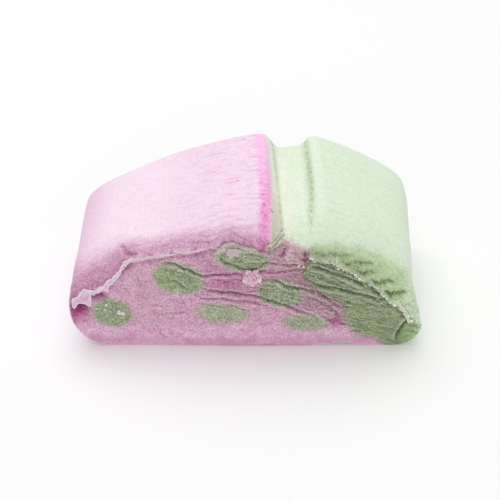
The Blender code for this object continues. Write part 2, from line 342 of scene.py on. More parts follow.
def fold_relief(x, z):
    """Creases dragged across the cut by the blade, each with a ridge under it."""
    relief = np.zeros(x.shape)
    wobble_x = x + 0.20 * fractal_noise(x * 0.5, z * 0.6, 31, 2)
    wobble_z = z + 0.20 * fractal_noise(x * 0.5, z * 0.6, 37, 2)
    for points, depth, width in FOLDS:
        gap, side, place = line_distance(wobble_x, wobble_z, smooth_curve(points, 6))
        ends = smoothstep(0.0, 0.18, place) * smoothstep(1.0, 0.80, place)
        signed = gap * side
        crease = -np.exp(-(signed / width) ** 2)
        ridge = FOLD_LIP * np.exp(-((signed + 2.3 * width) / (1.6 * width)) ** 2)
        brow = 0.5 * FOLD_LIP * np.exp(-((signed - 2.0 * width) / (1.6 * width)) ** 2)
        relief += np.where(gap < 8.0 * width, depth * ends * (crease + ridge + brow), 0.0)
    return relief


def thin_creases(x, z, seed, width):
    """Thin lines that wander along the level line of a noise, 0 to 1."""
    return np.exp(-(fractal_noise(x, z, seed, 2) / width) ** 2)


def lump_relief(x, z):
    """The lump of pink foam pressed out under the groove."""
    uneven = 0.25 * fractal_noise(x * 0.9, z * 0.9, 27, 2)
    share = 1.0 - ((x - LUMP[0]) / LUMP[2]) ** 2 - ((z - LUMP[1]) / LUMP[3]) ** 2 + uneven
    return LUMP_RISE * smoothstep(0.0, 0.7, share)


def build_cut_fields():
    """Relief and masks of the front cut on a regular raster over x and z."""
    step = 0.06
    xs = np.arange(-HALF - 1.0, HALF + 1.0, step)
    zs = np.arange(-0.6, HEIGHT, step)
    z, x = np.meshgrid(zs, xs)
    drop = 0.10 * np.maximum(x + 5.0, 0.0) + 0.26 * np.maximum(x - 4.0, 0.0)
    drop -= 0.16 * np.maximum(x - 12.0, 0.0)
    flow = z + drop
    middle = smoothstep(-8.0, -3.0, x) * smoothstep(5.0, 7.0, z)
    green = smoothstep(7.0, 9.5, x - 0.9 * np.maximum(0.0, 7.0 - z))
    patch = smoothstep(-0.5, 0.6, fractal_noise(x * 0.25, flow * 0.5, 13))
    dragged = np.maximum(middle * (0.35 + 0.65 * patch), green)
    wrinkles = 0.09 * fractal_noise(x * 0.30, flow * 1.5, 11, 3) * (0.25 + 0.75 * dragged)
    creases = thin_creases(x * 0.22 + 0.1 * flow, flow * 1.15, 17, 0.20) * dragged
    arched = z + 0.04 * (x - 15.0) ** 2
    creases += thin_creases(x * 0.25, arched * 1.6, 19, 0.22) * 0.85 * green
    creases += thin_creases(x * 0.5 + z * 0.3, z * 0.7, 29, 0.10) * 0.30 * (1.0 - dragged)
    grain = 0.055 * fractal_noise(x * 2.4 + z, z * 3.2 - 0.8 * x, 23, 3)
    calm = 0.25 + 0.75 * smoothstep(0.9, 2.6, z)
    creases += thin_creases(x * 0.16 + 3.0, flow * 2.6, 33, 0.20) * 0.7 * band(x, 1.0, 13.0, 2.0) * middle
    relief = fold_relief(x, z) + (wrinkles - (0.10 + 0.07 * middle) * creases + grain) * calm
    under_rim = bump(z, rim_height(x) - 0.45, 0.42) * (1.0 - 0.85 * band(x, -3.2, 8.2, 0.3))
    relief -= 0.30 * under_rim * smoothstep(-17.5, -14.0, x) * smoothstep(21.0, 19.0, x)
    relief -= 1.3 * np.exp(-((x + 20.4) / 1.2) ** 2 - ((z - 6.0) / 1.0) ** 2)
    relief -= 0.7 * np.exp(-((x + 17.9) / 1.0) ** 2 - ((z - 8.1) / 0.55) ** 2)
    relief -= 0.45 * np.exp(-((x - 11.6) / 1.0) ** 2 - ((z - 4.0) / 1.3) ** 2)
    relief += lump_relief(x, z)
    # The crease amount, which sets painted shade in hollows and a painted highlight on crests.
    fine = blurred(relief, 2.2) - relief
    broad = blurred(relief, 9.0) - relief
    crease = np.clip(fine * 9.0 + broad * 1.6, -1.0, 1.0)
    return {"xs": xs, "zs": zs, "relief": relief, "crease": crease}


def sample_field(fields, name, x, z):
    """The named field at the given places, between its raster points."""
    xs, zs, values = fields["xs"], fields["zs"], fields[name]
    fx = np.clip((x - xs[0]) / (xs[1] - xs[0]), 0.0, len(xs) - 1.001)
    fz = np.clip((z - zs[0]) / (zs[1] - zs[0]), 0.0, len(zs) - 1.001)
    i, j = fx.astype(int), fz.astype(int)
    u, v = fx - i, fz - j
    low = values[i, j] * (1.0 - u) + values[i + 1, j] * u
    high = values[i, j + 1] * (1.0 - u) + values[i + 1, j + 1] * u
    return low * (1.0 - v) + high * v


def cut_bulge(x, z):
    """How far the soft cut face swells out, zero at its rim."""
    return CUT_BULGE * np.clip(1.0 - (x / HALF) ** 2 - ((z - 7.0) / 9.0) ** 2, 0.0, 1.0)


# Colours, as 8-bit sRGB

PINK_TOP = (249, 226, 242)
PINK_SIDE = (238, 202, 226)
PINK_WRINKLE = (240, 196, 226)
PINK_OVER = (216, 166, 196)
PINK_OVER_DEEP = (198, 140, 174)
PINK_FOLD_SHADE = (174, 98, 142)
STRIPE = (252, 202, 237)
STRIPE_LOW = (240, 152, 213)
STRIPE_SPECK = (196, 70, 150)
STRIPE_FOOT = (178, 108, 148)
GROOVE_WALL = (236, 243, 226)
GROOVE_LOW = (208, 202, 182)
GROOVE_FLOOR = (226, 238, 216)
GROOVE_PINK = (240, 234, 224)
GROOVE_LINE = (176, 188, 152)
GROOVE_CREASE_SHADE = (150, 126, 108)
GREEN_TOP = (227, 242, 219)
GREEN_MID = (200, 223, 178)
GREEN_OVER = (174, 195, 147)
GREEN_OVER_SHADE = (130, 150, 102)
GREEN_SHADE_AND_STREAK = (84, 106, 58)
GREEN_LINE = (150, 184, 124)
LUMP_PINK = (202, 166, 176)
LUMP_GAP_SHADE = (112, 52, 66)
# Pale colours of the torn pink edge and of the green rim, also laid on ridges as painted highlight
TORN_EDGE_AND_HIGHLIGHT = (226, 204, 214)
GREEN_EDGE_AND_HIGHLIGHT = (200, 208, 184)
TORN_SKIN = ((240, 226, 233), (214, 178, 198))      # edge and middle
TORN_DULL = ((226, 202, 214), (214, 178, 198))
TORN_GREY = ((204, 192, 190), (196, 184, 182))
TORN_GREEN = ((222, 228, 208), (188, 200, 166))
CRUMB_PINK = (228, 184, 206)
SUGAR = (244, 245, 240)
PINK_CUT = (218, 172, 198)
PINK_CUT_PALE = (236, 188, 218)
PINK_CUT_DEEP = (182, 82, 145)
PINK_CUT_GREY = (200, 162, 174)
PINK_CUT_MID = (186, 128, 159)
PINK_CUT_DUN = (158, 130, 130)
PINK_CREASE_SHADE = (120, 38, 84)
HEM_GREY = (208, 200, 191)
HEM_SHADE_LINE = (122, 62, 74)
GREEN_CUT = (148, 162, 121)
GREEN_CUT_DARK = (108, 124, 78)
GREEN_CREASE_SHADE = (70, 84, 44)
STRAND_CUT = (153, 168, 128)
STRAND_DARK = (104, 124, 70)
STRAND_PALE = (184, 190, 164)
STRAND_HALO = (196, 168, 172)
# White of sugar on crumbs and grains, also laid on the cut's ridges as painted highlight
SUGAR_AND_HIGHLIGHT = (247, 242, 243)


def linear(colour):
    """A linear colour from an 8-bit sRGB one."""
    c = np.array(colour) / 255.0
    return np.where(c <= 0.04045, c / 12.92, ((c + 0.055) / 1.055) ** 2.4)


def mixed(first, second, share):
    """From the first colour to the second, by the share at each point."""
    first = linear(first) if isinstance(first, tuple) else first
    return first + (linear(second) - first) * np.clip(share, 0.0, 1.0)[..., None]


def band(value, low, high, soft):
    """1 between low and high, with soft ends."""
    return smoothstep(low - soft, low + soft, value) * (1.0 - smoothstep(high - soft, high + soft, value))


# Deep pink specks on the skin, as (x, y)
SKIN_SPECKS = ((-0.7, -2.5), (2.6, -8.9), (2.2, -8.6), (3.4, -8.0), (-0.1, 7.7))


def skin_tint(x, y, z, behind, sink, crease):
    """Colour and graininess of the skin: pink, its stripe, the groove and green."""
    share = (BACK_Y - y) / LENGTH
    wander = fractal_noise(x * 0.5, y * 0.5, 71)
    fine = fractal_noise(x * 2.2, y * 2.2, 73, 2)
    edge = 0.10 * fine
    dragged = smoothstep(0.2, 1.5, sink)
    over = over_share(x, behind, 0.6 * wander) * dragged
    near_rim = smoothstep(2.6, 0.2, behind + 0.6 * wander) * dragged
    upper = smoothstep(1.0, 3.0, z)
    # Where the relief dips, its creases get painted shade; where it stands proud, its ridges get a painted highlight.
    crease_shade, ridge_highlight = np.maximum(crease, 0.0), np.maximum(-crease, 0.0)
    streaks = fractal_noise(x * 0.35, y * 2.4 + 0.3 * wander, 75, 2)
    # Painted shade: the pink's left flank is darker, as where it turns away from the light.
    tint = mixed(PINK_TOP, PINK_SIDE, smoothstep(-16.5, -21.5, x))
    lines = smoothstep(0.15, 0.75, streaks) * smoothstep(-11.0, 0.0, x) * smoothstep(2.4, 1.2, x)
    tint = mixed(tint, PINK_WRINKLE, 0.95 * lines + 0.28 * band(x, -9.0, 2.0, 4.0))
    tint = mixed(tint, PINK_OVER, over)
    left_corner = over * smoothstep(4.4, 0.6, behind) * band(x, -22.0, -12.9, 0.5)
    tint = mixed(tint, PINK_OVER_DEEP, left_corner)
    # Painted shade in the creases of the pink skin.
    tint = mixed(tint, PINK_FOLD_SHADE, crease_shade * (0.30 + 0.35 * over))
    # Painted highlight on the ridges of the rolled-over pink skin, in the pale colour of its torn edge.
    tint = mixed(tint, TORN_EDGE_AND_HIGHLIGHT, ridge_highlight * 0.4 * over)

    left_edge = 1.15 + 1.1 * share * (1.0 - 0.15 * share) - 0.4 * smoothstep(0.8, 1.0, share)
    right_edge = 2.55 + 0.80 * np.sin(math.pi * share * 0.8)
    right_edge -= 0.55 * smoothstep(1.0, 0.1, behind) * dragged
    wall_x = 3.65 + 1.25 * share * (1.0 - 0.2 * share)
    groove = band(x + edge, right_edge + 0.15, 8.2, 0.3) * upper
    tint = mixed(tint, GROOVE_WALL, groove)
    tint = mixed(tint, GROOVE_LOW, groove * smoothstep(0.6, 1.0, share) * smoothstep(5.2, 4.2, x))
    tint = mixed(tint, GROOVE_FLOOR, band(x + edge, wall_x + 0.2, 9.0, 0.25) * upper)
    tint = mixed(tint, GROOVE_PINK, bump(x, wall_x + 0.8, 0.5) * 0.5 * upper)
    tint = mixed(tint, GROOVE_LINE, (0.60 + 0.6 * fine) * bump(x + edge, wall_x, 0.17) * upper)
    # Painted shade in the creases of the groove's left part.
    tint = mixed(tint, GROOVE_CREASE_SHADE, 0.7 * crease_shade * band(x, 2.6, 5.2, 0.2) * smoothstep(3.2, 2.2, behind))

    green = smoothstep(7.7, 8.7, x + edge) * np.maximum(upper, smoothstep(17.6, 18.4, x))
    # Painted shade on the rolled-over green: darker near the rim and in the hollow beside the groove, less of it
    # towards the right.
    paler = 1.0 - 0.65 * smoothstep(11.5, 19.5, x)
    hollow_shade = bump(x, 9.3, 1.3) * smoothstep(1.6, 0.4, behind)
    tint = mixed(tint, GREEN_TOP, green)
    tint = mixed(tint, GREEN_MID, green * smoothstep(0.0, 0.35, over))
    tint = mixed(tint, GREEN_OVER, green * smoothstep(0.25, 1.0, over) * (0.4 + 0.6 * paler))
    shaded = near_rim * smoothstep(-0.5, 0.5, streaks + wander) * 0.8 * paler
    tint = mixed(tint, GREEN_OVER_SHADE, green * np.maximum(shaded, 0.7 * hollow_shade))
    # Painted highlight: the green's right flank is lighter, as where the light falls on it.
    tint = mixed(tint, GREEN_TOP, 0.65 * green * smoothstep(20.8, 22.0, x))
    # Painted shade in the creases of the green skin.
    tint = mixed(tint, GREEN_SHADE_AND_STREAK, green * crease_shade * (0.4 + 0.4 * over))
    # Painted highlight on the ridges of the rolled-over green skin, in the pale colour of its rim.
    tint = mixed(tint, GREEN_EDGE_AND_HIGHLIGHT, green * ridge_highlight * 0.3 * over)
    line = bump(x + 0.4 * edge, 8.0 + 0.3 * np.sin(math.pi * share), 0.34) * upper
    dark = 0.30 + 0.25 * np.sin(math.pi * share) + 0.75 * fractal_noise(x * 3.5, y * 3.5, 77, 2)
    tint = mixed(tint, GREEN_LINE, dark * line * smoothstep(0.98, 0.85, share))

    stripe = band(x + edge + 0.12 * streaks, left_edge + 0.1, right_edge, 0.42) * upper
    tint = mixed(tint, STRIPE, stripe)
    deeper = smoothstep(0.40, 0.95, share + 0.35 * fine + 0.2 * streaks)
    tint = mixed(tint, STRIPE_LOW, stripe * (0.06 + 0.80 * deeper + 0.20 * np.maximum(streaks, 0.0)))
    tint = mixed(tint, STRIPE_SPECK, stripe * smoothstep(0.6, 1.1, fine + streaks) * band(share, 0.76, 0.92, 0.04))

    tint = mixed(tint, STRIPE_FOOT, stripe * smoothstep(2.2, 0.4, behind + 4.0 * edge) * 0.85)
    for speck_x, speck_y in SKIN_SPECKS:
        gap = np.hypot(x - speck_x, y - speck_y)
        tint = mixed(tint, STRIPE_SPECK, 0.7 * smoothstep(0.22, 0.08, gap + edge))

    lump = band(x + 2.0 * edge, 4.75, 7.95, 0.25) * smoothstep(1.3, 0.3, behind + 3.0 * edge)
    tint = mixed(tint, LUMP_PINK, lump)
    # Painted shade in the gap between the lump and the green.
    tint = mixed(tint, LUMP_GAP_SHADE, bump(x + edge, 7.5, 0.50) * smoothstep(1.4, 0.4, behind) * 0.9)
    hem = bump(behind, 0.0, 0.22) * band(x, -3.2, 4.6, 0.3)
    torn = np.exp(-(behind / 0.40) ** 2) * dragged * (0.55 + 0.6 * wander + 0.5 * fine)
    tint = mixed(tint, TORN_EDGE_AND_HIGHLIGHT, torn * band(x, -13.4, -3.0, 0.6))
    pale_rim = smoothstep(0.75, 0.15, behind + 0.3 * fine) * dragged * band(x, 8.2, 21.0, 0.3)
    wide_rim = smoothstep(1.2, 0.5, behind + 0.4 * fine) * dragged * band(x, 8.8, 12.6, 0.5)
    tint = mixed(tint, GREEN_EDGE_AND_HIGHLIGHT, np.maximum((0.45 + 0.3 * fine) * pale_rim, 0.55 * wide_rim))
    # Painted shade: a dark line along the rim where the skin hangs over the cut.
    tint = mixed(tint, HEM_SHADE_LINE, 0.7 * hem)
    grain = 0.21 + 0.45 * over + 0.25 * stripe * deeper + 0.25 * green * near_rim
    return tint, grain


# Softness of each strand's edge, how strong its green is and how pale
STRAND_LOOKS = ((0.16, 1.0, 0.0), (0.16, 1.0, 0.0), (0.12, 0.95, 0.0), (0.16, 1.0, 0.0),
                (0.34, 0.90, 0.55), (0.34, 0.82, 0.30))


def corner_share(x, z):
    """1 on the green corner of the front, which the blade missed, and 0 on the cut."""
    line = smooth_curve(CORNER_FOLD, 5)
    edge_x = np.interp(z, line[::-1, 1], line[::-1, 0])
    return smoothstep(-0.1, 0.25, x - edge_x)


def cut_tint(x, z, green, crease, ovals, kind):
    """Colour and graininess of a cut: pink foam with green strands, and green foam."""
    cloud = fractal_noise(x * 0.45, z * 0.6, 91)
    fine = fractal_noise(x * 1.6, z * 3.0, 93, 2)
    edge = 0.25 * fine
    drag = 1.0 if kind == FRONT else 0.0
    # Where the relief dips, its creases get painted shade; where it stands proud, its ridges get a painted highlight.
    crease_shade, ridge_highlight = np.maximum(crease, 0.0), np.maximum(-crease, 0.0)
    tint = mixed(linear(PINK_CUT) + 0.0 * z[..., None], PINK_CUT_PALE, 0.8 * band(z + edge, 1.5, 3.6, 0.7))
    tint = mixed(tint, PINK_CUT_PALE, 0.6 * smoothstep(1.3, 0.4, z))
    tint = mixed(tint, PINK_CUT_DEEP, 0.28 * smoothstep(-0.1, 0.8, cloud))
    tint = mixed(tint, PINK_CUT_GREY, 0.55 * smoothstep(0.0, 0.8, -cloud) * smoothstep(3.0, 6.0, z))
    tint = mixed(tint, PINK_CUT_GREY, drag * 0.8 * band(x, 0.5, 9.5, 1.5) * smoothstep(7.0, 9.0, z))
    tint = mixed(tint, PINK_CUT_MID, drag * 0.7 * band(x, -5.0, 10.0, 1.5) * band(z + 0.2 * x, 7.6, 13.4, 1.0))
    beside_seam = smoothstep(-3.6, -0.8, green + edge) * band(x, 5.5, 12.5, 1.2) * smoothstep(2.8, 4.4, z)
    tint = mixed(tint, PINK_CUT_DUN, drag * 0.75 * beside_seam)
    # Deeper pink spots: those in the pits and along the creases of the relief are painted shade, the others are patches
    # of deeper colour.
    deep = 0.95 * np.exp(-((x + 20.4) / 1.4) ** 2 - ((z - 5.7) / 1.3) ** 2)
    deep += 0.9 * np.exp(-((x + 17.9) / 1.0) ** 2 - ((z - 8.1) / 0.6) ** 2)
    deep += 0.7 * np.exp(-((x + 21.6) / 1.0) ** 2 - ((z - 4.6) / 1.6) ** 2)
    deep += 0.7 * np.exp(-((x + 2.0) / 1.5) ** 2 - ((z - 10.5) / 0.6) ** 2)
    deep += 0.9 * np.exp(-((x + 2.3) / 1.2) ** 2 - ((z - 11.7) / 0.25) ** 2)
    deep += 0.65 * np.exp(-((x - 11.4) / 0.9) ** 2 - ((z - 3.9) / 1.0) ** 2)
    deep += 0.9 * np.exp(-((x - 4.9) / 0.6) ** 2 - ((z - 14.6) / 0.5) ** 2)
    tint = mixed(tint, PINK_CUT_DEEP, drag * deep)
    lumpy = lump_relief(x, z) / LUMP_RISE
    tint = mixed(tint, LUMP_PINK, drag * smoothstep(0.1, 0.5, lumpy))
    # Painted shade on the lump's right side, in the gap against the green.
    tint = mixed(tint, LUMP_GAP_SHADE, drag * 0.9 * smoothstep(0.25, 0.95, x - LUMP[0] + edge) * smoothstep(0.0, 0.4, lumpy))
    softness = 0.20 + 0.45 * smoothstep(8.0, 4.0, z)
    green_share = smoothstep(-softness, softness, green + 0.8 * edge)
    tint = mixed(tint, GREEN_CUT, green_share)
    flow = z + 0.35 * (x - 8.0)
    bands = smoothstep(0.0, 0.9, fractal_noise(x * 0.3, flow * 2.2, 95, 3))
    tint = mixed(tint, GREEN_CUT_DARK, green_share * bands * (0.2 + 0.5 * drag))
    strands, halo, pale = np.zeros(x.shape), np.zeros(x.shape), np.zeros(x.shape)
    for oval, (softness, strength, paleness) in zip(ovals, STRAND_LOOKS):
        reach = oval_reach(oval, x, z) + 0.35 * edge
        within = smoothstep(1.06 + softness, 1.04 - softness, reach)
        strands = np.maximum(strands, strength * within)
        pale = np.maximum(pale, paleness * within)
        halo = np.maximum(halo, smoothstep(1.40, 1.0, reach))
    tint = mixed(tint, STRAND_HALO, 0.65 * halo)
    tint = mixed(tint, STRAND_CUT, strands)
    tint = mixed(tint, STRAND_DARK, strands * 0.7 * smoothstep(0.0, 0.9, fine))
    tint = mixed(tint, STRAND_PALE, pale)
    hem = bump(z, rim_height(x) - 0.55, 0.55) * band(x, -3.4, 1.8, 0.4)
    tint = mixed(tint, HEM_GREY, drag * hem)
    # Painted shade: a dark line just under the rim, where the skin hangs over the cut.
    tint = mixed(tint, HEM_SHADE_LINE, drag * 0.8 * bump(z, rim_height(x) - 0.05, 0.14) * band(x, -3.2, 4.6, 0.3))
    greenish = np.clip(green_share + strands, 0.0, 1.0)
    # Painted shade in the cut's creases, pink or green by the foam under it, and a painted highlight on its ridges.
    tint = mixed(tint, PINK_CREASE_SHADE, crease_shade * (1.0 - greenish) * 0.60)
    tint = mixed(tint, GREEN_CREASE_SHADE, crease_shade * greenish * 0.75)
    tint = mixed(tint, SUGAR_AND_HIGHLIGHT, ridge_highlight * 0.32)
    # The uncut green corner: painted shade beside its fold, lightening to a painted highlight at its right edge; its
    # dark fold colour is painted shade in creases and real darker streaks.
    corner = drag * corner_share(x, z)
    outer = mixed(linear(GREEN_OVER_SHADE) + 0.0 * tint, GREEN_OVER, smoothstep(19.3, 21.2, x) + edge)
    outer = mixed(outer, GREEN_TOP, 0.7 * smoothstep(21.2, 22.4, x))
    outer = mixed(outer, GREEN_SHADE_AND_STREAK, crease_shade + 0.5 * bands)
    tint = tint + (outer - tint) * corner[..., None]
    return tint, (0.75 + 0.25 * strands) * (1.0 - 0.4 * corner) * (0.5 + 0.5 * smoothstep(0.6, 2.0, z))


LIP = 0.28                # how far the torn rim stands out
OVER_EDGE = ((-22.2, 5.2), (-19.8, 3.8), (-16.8, 4.3), (-15.3, 3.8), (-13.3, 2.5), (-8.0, 2.3),
             (-3.0, 1.9), (1.0, 1.7), (4.0, 1.2), (8.4, 1.5), (12.4, 2.4), (16.1, 3.2), (22.2, 4.4))

# Folds of the rolled-over skin: points as (x, distance behind the rim), depth and width
SKIN_FOLDS = (
    (((-15.2, 3.6), (-14.5, 2.4), (-13.9, 1.2), (-13.4, 0.8), (-12.3, 0.4)), 0.22, 0.22),
    (((5.1, 1.5), (4.6, 0.95), (4.0, 0.6), (3.1, 0.4), (2.3, 0.45)), 0.13, 0.11),
    (((4.9, 2.1), (4.4, 1.5), (4.0, 1.15), (3.3, 0.95), (2.5, 1.0)), 0.11, 0.12),
    (((8.4, 0.9), (9.6, 0.8), (11.4, 1.2), (12.9, 1.9), (14.2, 2.4)), 0.15, 0.34),
    (((11.6, 0.6), (13.2, 1.0), (15.0, 2.0), (17.0, 2.8)), 0.15, 0.30),
    (((14.2, 0.5), (15.5, 0.9), (17.0, 1.9)), 0.14, 0.28),
    (((16.2, 0.3), (17.6, 0.7), (18.7, 1.9), (20.2, 3.0)), 0.20, 0.30),
    (((18.4, 0.7), (19.6, 0.9), (20.6, 1.8), (21.9, 3.0)), 0.28, 0.32),
)


def over_share(x, behind, wander):
    """1 on the skin that is rolled over the front cut, 0 on the top."""
    edge = np.array(OVER_EDGE)
    reach = np.interp(x, edge[:, 0], edge[:, 1])
    return smoothstep(1.6, 0.35, behind / reach + 0.16 * wander)


def skin_relief(x, arc, y, behind, sink):
    """Relief of the skin: fine wrinkles across the rope, deeper where it rolls over a cut."""
    over = over_share(x, behind, gradient_noise(arc * 0.4, y * 0.4, 45)) * smoothstep(0.2, 1.5, sink)
    bent = y + 0.35 * np.sin(arc * 0.16) + 0.25 * gradient_noise(arc * 0.25, y * 0.25, 41)
    near_stripe = band(x, -9.0, 3.6, 3.5)
    patch = smoothstep(-0.3, 0.5, gradient_noise(arc * 0.11, y * 0.22, 47))
    relief = fractal_noise(arc * 0.30, bent * 1.7, 43, 3) * (0.012 + 0.03 * patch + 0.05 * over)
    creases = thin_creases(arc * 0.20, bent * 1.1, 49, 0.10)
    relief -= creases * (0.010 + 0.045 * near_stripe * patch + 0.045 * over)
    relief += fractal_noise(arc * 2.4, y * 2.4, 53, 2) * (0.010 + 0.024 * over)
    relief += 0.10 * gradient_noise(arc * 0.13, y * 0.13, 59)
    uneven = 0.12 * fractal_noise(x * 1.1, behind * 1.4, 55, 3)
    for points, depth, width in SKIN_FOLDS:
        gap, _, place = line_distance(x + uneven, behind + uneven, smooth_curve(points, 5))
        ends = smoothstep(0.0, 0.2, place) * smoothstep(1.0, 0.8, place)
        shape = 0.45 * np.exp(-((gap - 2.2 * width) / (1.4 * width)) ** 2) - np.exp(-(gap / width) ** 2)
        relief += np.where(gap < 8.0 * width, depth * ends * shape, 0.0)
    lip = np.exp(-(behind / 0.35) ** 2) * smoothstep(0.3, 1.5, sink) * (1.0 - band(x, 4.6, 8.0, 0.3))
    lip *= smoothstep(HALF - 0.4, HALF - 2.2, np.abs(x))
    relief += LIP * lip * (1.0 + 0.9 * fractal_noise(arc * 1.6, 0.0 * arc + 0.5, 67, 3))
    piled = smoothstep(8.0, 10.0, x) * smoothstep(4.5, 0.5, behind) * smoothstep(0.3, 1.5, sink)
    drawn = fractal_noise(x * 0.35, (behind - 0.35 * x) * 1.1, 69, 3)
    relief += piled * (0.07 * drawn - 0.06 * np.exp(-(drawn / 0.16) ** 2))
    return relief


# Meshes

def triangulate(points, edges):
    """Triangles over the points that keep the edges, inside the outline that they close."""
    found = delaunay_2d_cdt([Vector(p) for p in points], edges, [], 1, 1e-7, True)
    vertices, _, faces, sources = found[0], found[1], found[2], found[3]
    order = np.array([source[0] if source else -1 for source in sources])
    kept = [face for face in faces if len(face) == 3]
    triangles = order[np.array(kept)]
    assert len(vertices) == len(points) and (order >= 0).all(), "a point was lost or made"
    a, b, c = (np.array(points)[triangles[:, k]] for k in range(3))
    turned = np.cross(b - a, c - a) < 0.0
    triangles[turned] = triangles[turned][:, ::-1]
    return triangles


def inside_polygon(x, z, polygon):
    """Which places lie inside a closed polygon."""
    inside = np.zeros(x.shape, dtype=bool)
    for (x0, z0), (x1, z1) in zip(polygon, np.roll(polygon, -1, axis=0)):
        if z0 == z1:
            continue
        crosses = (z0 > z) != (z1 > z)
        inside ^= crosses & (x < (x1 - x0) * (z - z0) / (z1 - z0) + x0)
    return inside


def scattered_points(polygon, lines, step, seed):
    """Slightly uneven points inside a polygon, clear of its outline and of the lines."""
    random = np.random.default_rng(seed)
    low, high = polygon.min(axis=0), polygon.max(axis=0)
    rows = np.arange(low[1], high[1], step * 0.866)
    x, z = np.meshgrid(np.arange(low[0], high[0], step), rows)
    x = x + 0.5 * step * (np.arange(len(rows)) % 2)[:, None]
    x = (x + random.uniform(-0.22, 0.22, x.shape) * step).ravel()
    z = (z + random.uniform(-0.22, 0.22, z.shape) * step).ravel()
    keep = inside_polygon(x, z, polygon)
    x, z = x[keep], z[keep]
    clear = np.ones(x.shape, dtype=bool)
    for line in [np.vstack((polygon, polygon[:1]))] + lines:
        clear &= line_distance(x, z, line)[0] > 0.55 * step
    return np.column_stack((x[clear], z[clear]))


def strand_ovals():
    """Middle, half sizes and tilt of each strand, after its node's box."""
    ovals = []
    for number, tilt in enumerate(STRAND_TILTS, start=1):
        low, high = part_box("green_strand_%d" % number)
        middle = ((low.x + high.x) / 2.0 / MM, (low.z + high.z) / 2.0 / MM)
        radii = ((high.x - low.x) / 2.0 / MM, (high.z - low.z) / 2.0 / MM)
        ovals.append((middle, radii, math.radians(tilt)))
    return ovals


def oval_points(oval, count):
    """A strand's outline, counter-clockwise, with a slightly uneven radius."""
    middle, radii, turn = oval
    angle = np.linspace(0.0, 2.0 * math.pi, count, endpoint=False)
    uneven = 1.0 + 0.04 * gradient_noise(np.cos(angle) * 1.3 + middle[0], np.sin(angle) * 1.3 + middle[1], 61)
    u, v = radii[0] * np.cos(angle) * uneven, radii[1] * np.sin(angle) * uneven
    x = middle[0] + u * math.cos(turn) - v * math.sin(turn)
    z = middle[1] + u * math.sin(turn) + v * math.cos(turn)
    return np.column_stack((x, z))


def oval_reach(oval, x, z):
    """1 on a strand's outline, less inside and more outside."""
    middle, radii, turn = oval
    dx, dz = x - middle[0], z - middle[1]
    u = dx * math.cos(turn) + dz * math.sin(turn)
    v = dz * math.cos(turn) - dx * math.sin(turn)
    return np.hypot(u / radii[0], v / radii[1])


# Building the rope

SKIN, FRONT, BACK, WALL = range(4)
WALL_GAP = 0.03           # half the clearance between two masses inside the rope


def unit(vectors):
    """The vectors at length 1."""
    return vectors / (np.linalg.norm(vectors, axis=-1, keepdims=True) + 1e-12)


def smooth_normals(points, faces):
    """Normals at the points, averaged over the faces that meet there."""
    a, b, c = (points[faces[:, k]] for k in range(3))
    across = np.cross(b - a, c - a)
    total = np.zeros_like(points)
    for k in range(3):
        np.add.at(total, faces[:, k], across)
    return unit(total)


def grid_faces(index):
    """Triangles between neighbouring rows and columns of an array of vertex numbers."""
    a, b = index[:-1, :-1].ravel(), index[1:, :-1].ravel()
    c, d = index[1:, 1:].ravel(), index[:-1, 1:].ravel()
    return np.vstack((np.column_stack((a, b, c)), np.column_stack((a, c, d))))


class Rope:
    """All points of the rope, and its faces sorted by piece and by kind."""

    def __init__(self):
        self.points = np.zeros((0, 3))
        self.tints = np.zeros((0, 3))
        self.grains = np.zeros(0)
        self.faces = []

    def add_points(self, points, tints, grains):
        """Add points with their colour and graininess, and return their numbers."""
        first = len(self.points)
        self.points = np.vstack((self.points, points))
        self.tints = np.vstack((self.tints, tints))
        self.grains = np.concatenate((self.grains, grains))
        return np.arange(first, len(self.points))

    def add_faces(self, piece, kind, faces, plan):
        """Add faces to a piece; plan gives every point's place on a flat map of its kind."""
        if len(faces):
            self.faces.append((piece, kind, faces, plan[faces]))


def build_skin(rope, fields):
    """Add the skin, and return its grid of vertex numbers and the seam's column."""
    green, pink, bottom = outline_parts()
    section = np.vstack((green, pink[1:], bottom[1:-1]))
    seam_column = len(green) - 1
    y, front_share, back_share = stations()
    base = skin_base(section, y, front_share, back_share)
    rows, columns = base.shape[:2]
    steps = np.linalg.norm(np.diff(section, axis=0), axis=1)
    arc = np.concatenate(([0.0], np.cumsum(steps)))[None, :] + np.zeros((rows, 1))
    steps = np.linalg.norm(np.diff(base, axis=0), axis=2)
    behind = np.vstack((np.zeros((1, columns)), np.cumsum(steps, axis=0)))
    x = section[:, 0][None, :] + np.zeros((rows, 1))
    sink = np.maximum(section[:, 1] - base[0, :, 2], 0.0)[None, :] + np.zeros((rows, 1))
    along = y[:, None] + np.zeros((1, columns))
    relief = skin_relief(x, arc, along, behind, sink)
    relief *= smoothstep(0.0, 1.5, base[..., 2])
    points = base + grid_normals(base) * relief[..., None]
    points[..., 2] = np.maximum(points[..., 2], 0.0)
    # The crease amount: positive in hollows of the relief, where shade is painted, negative on its crests, where a
    # highlight is painted.
    crease = np.clip((blurred(relief, 2.0) - relief) * 9.0, -1.0, 1.0)
    points[..., 1] -= lump_relief(points[..., 0], points[..., 2]) * smoothstep(3.0, 1.0, behind)
    tints, grains = skin_tint(x, along, base[..., 2], behind, sink, crease)
    index = rope.add_points(points.reshape(-1, 3), tints.reshape(-1, 3), grains.ravel())
    index = index.reshape(rows, columns)
    closed = np.column_stack((index, index[:, 0]))
    plan = np.column_stack((np.tile(np.arange(columns), rows), np.repeat(np.arange(rows), columns)))
    plan = plan.astype(float)
    rope.add_faces("green_cap", SKIN, grid_faces(closed[:, :seam_column + 1]), plan)
    rope.add_faces("pink_body", SKIN, grid_faces(closed[:, seam_column:-1]), plan)
    wrap = grid_faces(closed[:, -2:])
    wrap_plan = plan[wrap]
    wrap_plan[..., 0] = np.where(wrap_plan[..., 0] == 0, columns, wrap_plan[..., 0])
    rope.faces.append(("pink_body", SKIN, wrap, wrap_plan))
    return index, seam_column


